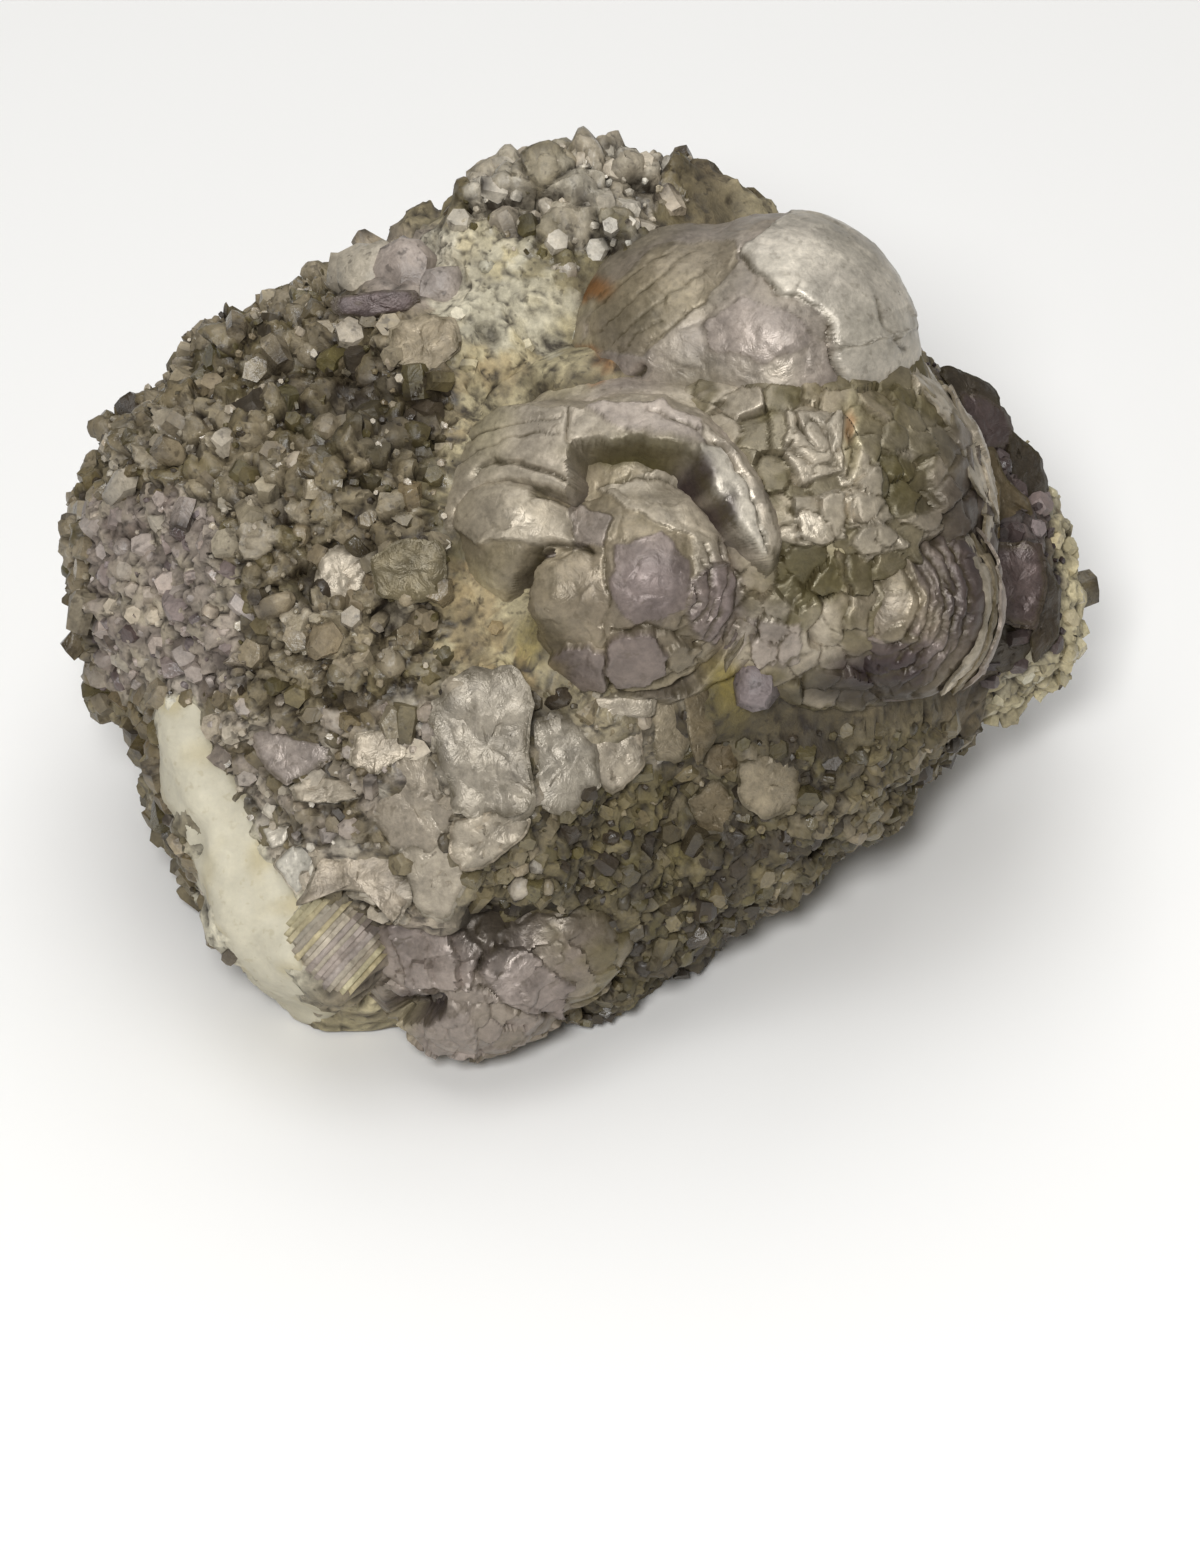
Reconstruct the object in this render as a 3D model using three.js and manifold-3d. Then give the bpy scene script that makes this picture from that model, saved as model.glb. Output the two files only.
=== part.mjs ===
// A loose specimen of lepidolite mica, grown as one stone: a boulder-shaped core packed with
// flat-ended grains, with domes of nested shells on its front, flat plates low down and behind,
// a slab of dark mica at its right and a pale feldspar seam at its lower left.
// Millimetres, +Z up, with the origin at the middle of the stone's box, on its flat underside.

import * as THREE from "three";
import { ConvexHull } from "three/addons/math/ConvexHull.js";
import { mergeVertices } from "three/addons/utils/BufferGeometryUtils.js";
import Module from "manifold-3d";

const wasm = await Module();
wasm.setup();

// The stone is described as it is seen from the front and above, in a frame of its own:
// x across to the right, y up the picture and z out towards the eye, from the core's middle.
const EYE_ELEVATION = 40; // degrees above the ground
const CORE_HEIGHT = 36; // the core's middle above the ground

// Core
const CORE_OUTLINE = [
  50, 50, 48.5, 46, 44.5, 45, 46, 46, 46.5, 49, 53, 57.5,
  57.5, 54.5, 55, 58, 57, 52, 48, 43, 41, 41, 44, 48,
]; // radii seen from the front, every 15 degrees, anticlockwise from the right
const CORE_FRONT = 43; // how far the core bulges towards the eye
const CORE_BACK = 45; // and away from it
const CORE_SQUARENESS = 2.3; // 2 is an ellipsoid, more is boxier
const SWELL = 1.4; // height of the core's uneven swellings
const SWELL_LENGTH = 19; // distance from one swelling to the next

// Lumps and, where the height is negative, hollows of the core: middle, width and height
const LUMPS = [
  { at: [-5, 43, 16], width: 11, height: 6 }, // left end of the top knob
  { at: [7, 45, 13], width: 10, height: 4.5 }, // its middle
  { at: [17, 42, 10], width: 8, height: 6 }, // its right end
  { at: [-29, 22, 32], width: 7, height: -5 }, // pit among the grains
  { at: [-9, 27, 36], width: 8, height: -5 }, // valley between the grains and the domes
  { at: [-2, 34, 31], width: 6, height: -5 }, // hole under the top knob
  { at: [5, 3, 43], width: 17, height: -6 }, // nest of the rose
  { at: [12, -29, 34], width: 14, height: -7 }, // shaded recess under the rose
  { at: [-26, 26, -36], width: 16, height: 5 },
  { at: [6, -18, -42], width: 18, height: 4 },
  { at: [34, -18, -28], width: 13, height: 5 },
];

// Grains: the crystals that the core is packed with, each a low block with a flat end
const GRAIN_SPOTS = 368; // places spread evenly round the core
const BARE_SHARE = 0.7; // of the places kept where domes and plates cover the core
const GRAIN_SHIFT = 0.05; // how far a place strays, on a unit sphere
const GRAIN_GROOVE = 0.9; // depth of the grooves between grains
const GRAIN_STANDS = [0.4, 2.8]; // how far flat ends stand out of the core
const GRAIN_INSET = [0.18, 0.42]; // how far a flat end is drawn in from the grooves
const GRAIN_TILT = 0.3; // most slope of a flat end, along each axis
const SMOOTH_FRONT = { left: -6, back: 4, top: 38 }; // the domes' side has no grains
const RECESS = { top: -24, left: 2 }; // but the recess under the rose has

// Domes: where the sphere's middle is, and its shells, each a cap of that radius with a broken
// edge, which spreads about that many degrees from a pole, and the pole's lean from straight out,
// to the right and up.
const DOMES = {
  crown: {
    at: [22.8, 28.1, 24],
    shells: [
      { radius: 14.5, spread: 115, lean: [-5, -5] },
      { radius: 15.7, spread: 55, lean: [52, 34] },
      { radius: 15.3, spread: 40, lean: [-14, -26] },
      { radius: 15.4, spread: 34, lean: [-40, 30] },
    ],
  },
  crownSide: {
    at: [12.5, 29, 23.5],
    shells: [
      { radius: 12.4, spread: 110, lean: [-10, 0] },
      { radius: 13.4, spread: 42, lean: [-22, -8] },
    ],
  },
  flank: {
    at: [23.4, 8.4, 20],
    shells: [
      { radius: 23.9, spread: 110, lean: [20, 0] },
      { radius: 25.2, spread: 34, lean: [72, 24] },
      { radius: 24.7, spread: 30, lean: [62, -34] },
      { radius: 24.6, spread: 22, lean: [16, 14] },
    ],
  },
  cheek: {
    at: [36.3, -0.9, 29],
    shells: [
      { radius: 10.4, spread: 115, lean: [0, 0] },
      { radius: 11.8, spread: 44, lean: [60, -25] },
      { radius: 11.3, spread: 42, lean: [-10, 20] },
    ],
  },
  rose: {
    at: [6.4, 1.4, 34.5],
    shells: [
      { radius: 12.9, spread: 110, lean: [0, 0] },
      { radius: 13.8, spread: 48, lean: [14, 8] },
      { radius: 13.6, spread: 30, lean: [-12, -42] },
      { radius: 13.7, spread: 26, lean: [36, -40] },
    ],
  },
  toe: {
    at: [-12, -40, 15],
    shells: [
      { radius: 12.2, spread: 110, lean: [0, -10] },
      { radius: 13.2, spread: 40, lean: [24, -24] },
      { radius: 12.9, spread: 36, lean: [-24, 10] },
    ],
  },
  backUpper: {
    at: [14, 16, -29],
    shells: [
      { radius: 18, spread: 110, lean: [180, 0] },
      { radius: 19.2, spread: 44, lean: [204, 16] },
      { radius: 18.8, spread: 36, lean: [160, -22] },
    ],
  },
  backLeft: {
    at: [-30, 2, -22],
    shells: [
      { radius: 17, spread: 110, lean: [200, 0] },
      { radius: 18.2, spread: 48, lean: [218, 20] },
      { radius: 17.8, spread: 36, lean: [190, -24] },
    ],
  },
};
const SHELL_SIDES = 10;
const SHELL_RINGS = 3;
const SHELL_BREAK = 0.22; // how unevenly a shell's edge is broken, as a share of its spread
const SHELL_BREAK_WAVES = [2, 3, 5]; // waves round the edge

// The broken rim round the rose: pieces of a spherical shell, each between two angles seen
// anticlockwise from the right and between two angles from the pole
const RIM = { at: [4.7, 4.9, 34], thickness: 1.8, to: 105, lean: [3, 6] };
const RIM_PIECES = [
  { start: 102, end: 178, radius: 18.4, from: 50 },
  { start: 58, end: 98, radius: 17.9, from: 54 },
  { start: -18, end: 62, radius: 18.8, from: 52 },
  { start: 228, end: 318, radius: 17.2, from: 62 },
];
const RIM_SIDES = 20;
const RIM_RINGS = 2;

// Plates: loose-edged sheets of mica: where they are seen, size, turn and lean, in degrees
const PLATE_THICKNESS = 1.6;
const PLATE_SIDES = 7;
const SHEET_REACH = [0.82, 1.12]; // how far a sheet's corners reach, as a share of its half size
const SHEET_STRAY = 0.5; // how far a corner strays towards the next
const PLATES = [
  { at: [-11.5, -15.5], size: [12, 16], turn: 5, lean: [-12, -6] },
  { at: [-10, -27], size: [11, 7], turn: 18, lean: [10, -38] },
  { at: [-1, -19], size: [9, 13], turn: -8, lean: [14, -4] },
  { at: [4, -16], size: [6, 8], turn: 10, lean: [-6, 14] },
  { at: [-18, -24], size: [12, 11], turn: 40, lean: [-24, -16] },
  { at: [-29, -27], size: [9, 8], turn: 25, lean: [-12, 26] },
  { at: [-20, -33], size: [13, 9], turn: -30, lean: [0, -20] },
  { at: [-3, -43], size: [11, 9], turn: -25, lean: [22, -10] },
  { at: [26, 14], size: [9, 8], turn: 30, lean: [10, 12] },
  { at: [29, 6], size: [8, 9], turn: -15, lean: [20, 0] },
  { at: [22, -8], size: [6, 6], turn: 0, lean: [0, -16] },
  { at: [15, -15], size: [7, 9], turn: 20, lean: [16, -24] },
];

// Plates strewn over the back, where the eye doesn't reach
const BACK_PLATES = 8;
const BACK_PLATE_SIZE = [8, 17];
const BACK_PLATE_LEAN = 0.35; // most slope against the surface, along each axis

// Slab of dark mica at the right: sheets laid one on the other, each a little smaller
const SLAB = { at: [44, 6, -5], lean: [68, 6], pitch: 3, sides: 9, overlap: 1.3 };
const SLAB_SHEETS = [
  { size: [42, 40], shift: [0, 0] },
  { size: [42, 39], shift: [2, 0] },
  { size: [37, 36], shift: [-2, -1] },
  { size: [30, 31], shift: [3, -2] },
  { size: [22, 23], shift: [-1, -5] },
];

// Stack of thin sheets seen edge on, at the foot of the feldspar seam
const BOOK = { at: [-27.5, -39.5], sheets: 6, pitch: 1.9, turn: 48, stands: [1.2, 2.2] };
const BOOK_SHEET = { length: [11, 15], depth: [8, 10], overlap: 1.15 };

// Feldspar seam: rounded lumps along a line, seen from the front
const SEAM_LUMPS = [
  { at: [-46, -15], radius: [5, 8, 6] },
  { at: [-43, -25], radius: [6, 9, 7] },
  { at: [-39, -35], radius: [7, 9, 7] },
  { at: [-34, -41], radius: [7, 6, 7] },
];
const SEAM_DETAIL = 1;
const SEAM_SUNK = 2.6; // how far the lumps' middles lie inside the core's surface
const SEAM_MARGIN = 8; // no grains nearer than this to a lump's middle, as seen

const MICA = { color: 0x9c9384, roughness: 0.45, metalness: 0.1 };

const FAR = 200; // outside the stone, in any direction
const MERGE_DISTANCE = 1e-4; // corners nearer than this are one
const ASKEW = new THREE.Vector3(0.31, 0.52, 0.8); // a direction that no grain points along
const SEED = 8;

// A repeatable stream of numbers from 0 to 1
function numberStream(seed) {
  let state = seed;
  return () => {
    state = (state + 0x6d2b79f5) | 0;
    let t = Math.imul(state ^ (state >>> 15), 1 | state);
    t = (t + Math.imul(t ^ (t >>> 7), 61 | t)) ^ t;
    return ((t ^ (t >>> 14)) >>> 0) / 4294967296;
  };
}

// A closed three.js geometry as a manifold solid
function solidOf(geometry) {
  const plain = new THREE.BufferGeometry();
  plain.setAttribute("position", geometry.getAttribute("position"));
  plain.setIndex(geometry.index);
  const merged = mergeVertices(plain, MERGE_DISTANCE);
  const corners = merged.index.array;
  const triVerts = [];
  for (let i = 0; i < corners.length; i += 3) {
    const [a, b, c] = corners.subarray(i, i + 3);
    if (a !== b && b !== c && c !== a) triVerts.push(a, b, c);
  }
  return new wasm.Manifold(
    new wasm.Mesh({
      numProp: 3,
      vertProperties: merged.getAttribute("position").array,
      triVerts: new Uint32Array(triVerts),
    }),
  );
}

// A manifold solid as a three.js geometry
function geometryOf(solid) {
  const mesh = solid.getMesh();
  const geometry = new THREE.BufferGeometry();
  geometry.setAttribute("position", new THREE.BufferAttribute(mesh.vertProperties, 3));
  geometry.setIndex(new THREE.BufferAttribute(mesh.triVerts, 1));
  return geometry;
}

function joined(solids) {
  return solids.reduce((whole, next) => whole.add(next));
}

// A solid without the sealed hollows that its joined pieces left inside it
function filled(solid) {
  return solid.decompose().reduce((most, next) => (next.volume() > most.volume() ? next : most));
}

// The direction that leans from straight out, to the right and up, in degrees
function leaning([right, up]) {
  const turn = THREE.MathUtils.degToRad(right);
  const lift = THREE.MathUtils.degToRad(up);
  return new THREE.Vector3(
    Math.sin(turn) * Math.cos(lift),
    Math.sin(lift),
    Math.cos(turn) * Math.cos(lift),
  );
}

// A geometry built along +Y, turned to point along a direction and moved to a place
function stood(geometry, direction, place) {
  const turn = new THREE.Quaternion().setFromUnitVectors(new THREE.Vector3(0, 1, 0), direction);
  return geometry.applyQuaternion(turn).translate(place.x, place.y, place.z);
}

// The core's outline radius at an angle, in degrees, smoothly between the listed ones
function outlineRadius(angle) {
  const step = 360 / CORE_OUTLINE.length;
  const spot = THREE.MathUtils.euclideanModulo(angle, 360) / step;
  const index = Math.floor(spot);
  const next = (index + 1) % CORE_OUTLINE.length;
  const blend = THREE.MathUtils.smoothstep(spot - index, 0, 1);
  return THREE.MathUtils.lerp(CORE_OUTLINE[index], CORE_OUTLINE[next], blend);
}

// Uneven swellings of the core, from -1 to 1
function swelling(p) {
  const k = (2 * Math.PI) / SWELL_LENGTH;
  const slow = Math.sin(k * p.x + 1.3) * Math.sin(k * p.y * 0.9) + Math.sin(k * p.z * 1.1 + 0.7);
  const quick = Math.sin(2.3 * k * (p.x + p.z)) * Math.sin(2.1 * k * (p.y - p.x));
  return (slow + quick) / 3;
}

// How far the lumps and hollows raise the core at a point
function lumpHeight(p) {
  return LUMPS.reduce((sum, { at, width, height }) => {
    const distance = p.distanceTo(new THREE.Vector3(...at));
    return sum + height * Math.exp(-((distance / width) ** 2));
  }, 0);
}

// The core's surface along a direction from its middle
function corePoint(direction) {
  const flat = Math.hypot(direction.x, direction.y);
  const angle = THREE.MathUtils.radToDeg(Math.atan2(direction.y, direction.x));
  const deep = direction.z > 0 ? CORE_FRONT : CORE_BACK;
  const sum =
    (flat / outlineRadius(angle)) ** CORE_SQUARENESS +
    (Math.abs(direction.z) / deep) ** CORE_SQUARENESS;
  const point = direction.clone().multiplyScalar(sum ** (-1 / CORE_SQUARENESS));
  const lift = SWELL * swelling(point) + lumpHeight(point);
  return point.addScaledVector(direction, lift);
}

// Whether a place on the core is packed with grains
function isGrainy(p) {
  const inDome = Object.values(DOMES).some(({ at, shells }) => {
    return p.distanceTo(new THREE.Vector3(...at)) < shells[0].radius;
  });
  const onSeam = SEAM_LUMPS.some(({ at: [across, up] }) => {
    return p.z > 0 && Math.hypot(p.x - across, p.y - up) < SEAM_MARGIN;
  });
  const { left, back, top } = SMOOTH_FRONT;
  const onSmoothFront = p.x > left && p.z > back && p.y < top;
  const inRecess = p.y < RECESS.top && p.x > RECESS.left;
  return !inDome && !onSeam && (!onSmoothFront || inRecess);
}

// One of a number of directions spread evenly over a sphere by the golden angle, first +Z
function spreadDirection(index, count) {
  const height = 1 - (2 * (index + 0.5)) / count;
  const angle = index * Math.PI * (3 - Math.sqrt(5));
  const flat = Math.sqrt(1 - height * height);
  return new THREE.Vector3(flat * Math.cos(angle), flat * Math.sin(angle), height);
}

// The places of grains, each strayed a little, with most left out where something covers them
function grainDirections(random) {
  const directions = [];
  const stray = () => (2 * random() - 1) * GRAIN_SHIFT;
  for (let i = 0; i < GRAIN_SPOTS; i++) {
    const direction = spreadDirection(i, GRAIN_SPOTS);
    direction.add(new THREE.Vector3(stray(), stray(), stray())).normalize();
    if (isGrainy(corePoint(direction)) || random() < BARE_SHARE) directions.push(direction);
  }
  return directions;
}

// The cells nearest to each of some directions: a list of corner directions for each, in order
// round it. The hull of points on a sphere has one face for each corner.
function cellsRound(directions) {
  const cells = new Map(directions.map((direction) => [direction, []]));
  for (const face of new ConvexHull().setFromPoints(directions).faces) {
    for (let i = 0; i < 3; i++) cells.get(face.getEdge(i).head().point).push(face.normal.clone());
  }
  for (const [direction, corners] of cells) {
    const right = ASKEW.clone().cross(direction).normalize();
    const up = direction.clone().cross(right);
    const angle = (corner) => Math.atan2(corner.dot(up), corner.dot(right));
    corners.sort((a, b) => angle(a) - angle(b));
  }
  return cells;
}

// The flat end of a grain: its corners, drawn in from the grooves and set in a tilted plane
function flatEnd(direction, corners, random) {
  const middle = corePoint(direction);
  const inset = THREE.MathUtils.lerp(...GRAIN_INSET, random());
  middle.addScaledVector(direction, THREE.MathUtils.lerp(...GRAIN_STANDS, random() ** 2));
  const slope = () => (2 * random() - 1) * GRAIN_TILT;
  const edges = corners.map((corner) => corePoint(corner));
  const normal = new THREE.Vector3();
  edges.forEach((edge, i) => {
    const [from, to] = [edge, edges[(i + 1) % edges.length]].map((end) => end.clone().sub(middle));
    normal.add(from.cross(to));
  });
  normal.normalize().add(new THREE.Vector3(slope(), slope(), slope())).normalize();
  return edges.map((edge) => {
    const drawnIn = edge.clone().lerp(middle, inset);
    const above = drawnIn.clone().sub(middle).dot(normal) / direction.dot(normal);
    return drawnIn.addScaledVector(direction, -above);
  });
}

function core(random) {
  const triangles = [];
  for (const [direction, corners] of cellsRound(grainDirections(random))) {
    const grooves = corners.map((corner) => corePoint(corner).addScaledVector(corner, -GRAIN_GROOVE));
    const next = (i) => (i + 1) % corners.length;
    if (!isGrainy(corePoint(direction))) {
      const middle = corePoint(direction);
      grooves.forEach((groove, i) => triangles.push(middle, groove, grooves[next(i)]));
      continue;
    }
    const end = flatEnd(direction, corners, random);
    end.forEach((corner, i) => {
      triangles.push(corner, grooves[i], grooves[next(i)]);
      triangles.push(corner, grooves[next(i)], end[next(i)]);
      if (i > 1) triangles.push(end[0], end[i - 1], corner);
    });
  }
  return solidOf(new THREE.BufferGeometry().setFromPoints(triangles));
}

// A spherical cap with a broken edge, on a cone down to the sphere's middle
function shell({ radius, spread, lean }, at, random) {
  const profile = [new THREE.Vector2(0, 0)];
  for (let i = 0; i <= SHELL_RINGS; i++) {
    const polar = THREE.MathUtils.degToRad(spread * (1 - i / SHELL_RINGS));
    profile.push(new THREE.Vector2(radius * Math.sin(polar), radius * Math.cos(polar)));
  }
  profile[profile.length - 1].x = 0;
  const geometry = brokenEdge(new THREE.LatheGeometry(profile, SHELL_SIDES), random);
  return solidOf(stood(geometry, leaning(lean), new THREE.Vector3(...at)));
}

// Draws a cap about +Y in and out unevenly round its edge, along its sphere
function brokenEdge(geometry, random) {
  const waves = SHELL_BREAK_WAVES.map((count) => ({ count, phase: 2 * Math.PI * random() }));
  const places = geometry.getAttribute("position");
  const axis = new THREE.Vector3(0, 1, 0);
  const point = new THREE.Vector3();
  for (let i = 0; i < places.count; i++) {
    point.fromBufferAttribute(places, i);
    const around = Math.atan2(point.z, point.x);
    const wave = waves.reduce((sum, { count, phase }) => sum + Math.sin(count * around + phase), 0);
    const polar = point.angleTo(axis);
    const sideways = new THREE.Vector3(point.z, 0, -point.x).normalize();
    point.applyAxisAngle(sideways, (polar * SHELL_BREAK * wave) / waves.length);
    places.setXYZ(i, point.x, point.y, point.z);
  }
  return geometry;
}

function dome({ at, shells }, random) {
  return joined(shells.map((one) => shell(one, at, random)));
}

// One piece of the rim: a ring cut out of a spherical shell, less all but a wedge of it
function rimPiece({ start, end, radius, from }) {
  const arc = (size) =>
    Array.from({ length: RIM_RINGS + 1 }, (_, i) => {
      const polar = THREE.MathUtils.degToRad(from + ((RIM.to - from) * i) / RIM_RINGS);
      return new THREE.Vector2(size * Math.sin(polar), size * Math.cos(polar));
    });
  const profile = [...arc(radius).reverse(), ...arc(radius - RIM.thickness)];
  profile.push(profile[0].clone());
  const ring = new THREE.LatheGeometry(profile, RIM_SIDES).rotateX(Math.PI / 2);
  const [first, last] = [start, end].map(THREE.MathUtils.degToRad);
  const reach = 2 * radius;
  const wedge = new THREE.Shape().moveTo(0, 0);
  wedge.lineTo(reach * Math.cos(first), reach * Math.sin(first)).absarc(0, 0, reach, first, last);
  const slice = new THREE.ExtrudeGeometry(wedge, { depth: 2 * reach, bevelEnabled: false });
  const piece = solidOf(ring).intersect(solidOf(slice.translate(0, 0, -reach)));
  return piece.rotate([-RIM.lean[1], RIM.lean[0], 0]).translate(RIM.at);
}

// Finds where rays meet a solid's surface
function surfaceFinder(solid) {
  const mesh = new THREE.Mesh(geometryOf(solid));
  const caster = new THREE.Raycaster();
  return (from, direction) => {
    caster.set(from, direction);
    const [hit] = caster.intersectObject(mesh);
    return hit ? { point: hit.point, normal: hit.face.normal } : null;
  };
}

// The surface that the eye sees at a place across and up the picture
function seenAt(find, [across, up]) {
  return find(new THREE.Vector3(across, up, FAR), new THREE.Vector3(0, 0, -1));
}

// An irregular sheet in the XY plane, as wide and tall as size, centred on the origin
function sheet([width, height], thickness, sides, random) {
  const corners = [];
  for (let i = 0; i < sides; i++) {
    const angle = ((i + SHEET_STRAY * random()) / sides) * 2 * Math.PI;
    const reach = THREE.MathUtils.lerp(...SHEET_REACH, random()) / 2;
    const corner = [width * reach * Math.cos(angle), height * reach * Math.sin(angle)];
    corners.push(new THREE.Vector2(...corner));
  }
  const options = { depth: thickness, bevelEnabled: false };
  return new THREE.ExtrudeGeometry(new THREE.Shape(corners), options);
}

function plates(find, random) {
  return PLATES.map(({ at, size, turn, lean }) => {
    const { point } = seenAt(find, at);
    const geometry = sheet(size, PLATE_THICKNESS, PLATE_SIDES, random);
    geometry.translate(0, 0, -PLATE_THICKNESS / 3);
    geometry.rotateZ(THREE.MathUtils.degToRad(turn));
    geometry.rotateX(THREE.MathUtils.degToRad(-lean[1]));
    geometry.rotateY(THREE.MathUtils.degToRad(lean[0]));
    return solidOf(geometry.translate(point.x, point.y, point.z));
  });
}

// A geometry built facing +Z, turned to face along a direction and moved to a place
function faced(geometry, direction, place) {
  const turn = new THREE.Quaternion().setFromUnitVectors(new THREE.Vector3(0, 0, 1), direction);
  return geometry.applyQuaternion(turn).translate(place.x, place.y, place.z);
}

function backPlates(find, random) {
  const solids = [];
  const slope = () => (2 * random() - 1) * BACK_PLATE_LEAN;
  const size = () => THREE.MathUtils.lerp(...BACK_PLATE_SIZE, random());
  for (let i = 0; i < BACK_PLATES; i++) {
    const outward = spreadDirection(i, 2 * BACK_PLATES).negate();
    const { point } = find(outward.clone().multiplyScalar(FAR), outward.clone().negate());
    const facing = outward.add(new THREE.Vector3(slope(), slope(), slope())).normalize();
    const geometry = sheet([size(), size()], 2 * PLATE_THICKNESS, PLATE_SIDES, random);
    solids.push(solidOf(faced(geometry.translate(0, 0, -PLATE_THICKNESS), facing, point)));
  }
  return solids;
}

function slab(random) {
  const outward = leaning(SLAB.lean);
  const layers = SLAB_SHEETS.map(({ size, shift }, i) => {
    const geometry = sheet(size, SLAB.pitch * SLAB.overlap, SLAB.sides, random);
    const place = new THREE.Vector3(...SLAB.at).addScaledVector(outward, (i - 1) * SLAB.pitch);
    return solidOf(faced(geometry.translate(...shift, 0), outward, place));
  });
  return joined(layers);
}

function book(find, random) {
  const { point } = seenAt(find, BOOK.at);
  const turn = THREE.MathUtils.degToRad(BOOK.turn);
  const sheets = [];
  for (let i = 0; i < BOOK.sheets; i++) {
    const length = THREE.MathUtils.lerp(...BOOK_SHEET.length, random());
    const depth = THREE.MathUtils.lerp(...BOOK_SHEET.depth, random());
    const geometry = new THREE.BoxGeometry(length, BOOK.pitch * BOOK_SHEET.overlap, depth);
    const offset = (i - (BOOK.sheets - 1) / 2) * BOOK.pitch;
    geometry.translate(0, offset, THREE.MathUtils.lerp(...BOOK.stands, random()) - depth / 2);
    sheets.push(solidOf(geometry.rotateZ(turn).translate(point.x, point.y, point.z)));
  }
  return joined(sheets);
}

function seam(find) {
  const lumps = SEAM_LUMPS.map(({ at, radius }) => {
    const { point, normal } = seenAt(find, at);
    const middle = point.clone().addScaledVector(normal, -SEAM_SUNK);
    const geometry = new THREE.IcosahedronGeometry(1, SEAM_DETAIL).scale(...radius);
    return solidOf(geometry.translate(middle.x, middle.y, middle.z));
  });
  return joined(lumps);
}

// Turns the stone from the seen frame to stand on the ground, and cuts it off flat there
function grounded(stone) {
  const tilt = EYE_ELEVATION - 90;
  const stood = stone.rotate([-tilt, 0, 0]).translate([0, 0, CORE_HEIGHT]);
  const ground = new THREE.BoxGeometry(2 * FAR, 2 * FAR, FAR).translate(0, 0, -FAR / 2);
  const cut = stood.subtract(solidOf(ground));
  const { min, max } = cut.boundingBox();
  return cut.translate([-(min[0] + max[0]) / 2, -(min[1] + max[1]) / 2, 0]);
}

const random = numberStream(SEED);
const domes = Object.values(DOMES).map((one) => dome(one, random));
const bare = joined([core(random), ...domes, ...RIM_PIECES.map(rimPiece), slab(random)]);
const find = surfaceFinder(bare);
const loose = [...plates(find, random), ...backPlates(find, random)];
const dressed = joined([bare, seam(find), book(find, random), ...loose]);
const stone = grounded(filled(dressed));

const mica = new THREE.Mesh(geometryOf(stone), new THREE.MeshStandardMaterial(MICA));
mica.name = "mica_crystal";

const specimen = new THREE.Group();
specimen.add(mica);

export default specimen;
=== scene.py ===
import math

import bpy
import numpy as np
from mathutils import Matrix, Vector, noise
from mathutils.bvhtree import BVHTree
from mathutils.kdtree import KDTree


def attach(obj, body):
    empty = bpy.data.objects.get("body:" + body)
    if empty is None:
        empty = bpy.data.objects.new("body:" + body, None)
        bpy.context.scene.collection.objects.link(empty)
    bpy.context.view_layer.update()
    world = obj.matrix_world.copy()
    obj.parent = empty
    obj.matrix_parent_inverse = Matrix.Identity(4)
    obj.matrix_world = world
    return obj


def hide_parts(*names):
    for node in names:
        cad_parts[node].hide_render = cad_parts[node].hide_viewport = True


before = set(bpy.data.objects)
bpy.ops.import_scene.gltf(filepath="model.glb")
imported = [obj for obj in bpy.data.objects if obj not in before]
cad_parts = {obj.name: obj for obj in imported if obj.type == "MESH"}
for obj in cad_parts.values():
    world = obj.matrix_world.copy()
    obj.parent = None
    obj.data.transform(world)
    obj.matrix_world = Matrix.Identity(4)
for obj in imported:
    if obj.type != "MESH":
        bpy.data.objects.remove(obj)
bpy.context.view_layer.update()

# A loose specimen of lepidolite mica. Lengths are in millimetres until a mesh is made.
# Places on its front are given as pixels of the photograph, across and down.
METRES = 0.001
PHOTO_SIZE = (1200, 1551)
PIXEL = 0.117  # millimetres to a pixel at the depth of the core's middle
CORE_MIDDLE = np.array([-0.1, -0.3, 36.0])
CORE_PIXEL = (580, 602)
EYE_ELEVATION = math.radians(40)
LENS = 180
SENSOR = 36

RIGHT = np.array([1.0, 0.0, 0.0])
UP = np.array([0.0, math.sin(EYE_ELEVATION), math.cos(EYE_ELEVATION)])
OUT = np.array([0.0, -math.cos(EYE_ELEVATION), math.sin(EYE_ELEVATION)])
FRAME_MIDDLE = (PHOTO_SIZE[0] / 2, PHOTO_SIZE[1] / 2)
EYE_DISTANCE = PHOTO_SIZE[1] * PIXEL * LENS / SENSOR
AIM = (
    CORE_MIDDLE
    + PIXEL * (FRAME_MIDDLE[0] - CORE_PIXEL[0]) * RIGHT
    - PIXEL * (FRAME_MIDDLE[1] - CORE_PIXEL[1]) * UP
)
EYE = AIM + EYE_DISTANCE * OUT

random = np.random.default_rng(20)

# Colours, as sRGB values from 0 to 255
TONES = {
    "pearl": (186, 179, 165),
    "silver": (161, 151, 134),
    "steel": (148, 139, 124),
    "lilac": (149, 138, 129),
    "violet": (121, 109, 106),
    "purple": (78, 66, 63),
    "wine": (52, 41, 40),
    "olive": (106, 96, 71),
    "moss": (85, 77, 47),
    "grey": (132, 121, 100),
    "brown": (103, 91, 69),
    "honey": (138, 119, 86),
    "dark": (60, 52, 41),
    "cream": (178, 167, 134),
    "white": (190, 184, 164),
    "rust": (140, 90, 44),
    "yellow": (142, 127, 64),
}


def linear(rgb):
    """An sRGB colour from 0 to 255 as linear values from 0 to 1."""
    share = np.array(rgb, float) / 255
    return np.where(share <= 0.04045, share / 12.92, ((share + 0.055) / 1.055) ** 2.4)


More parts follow.
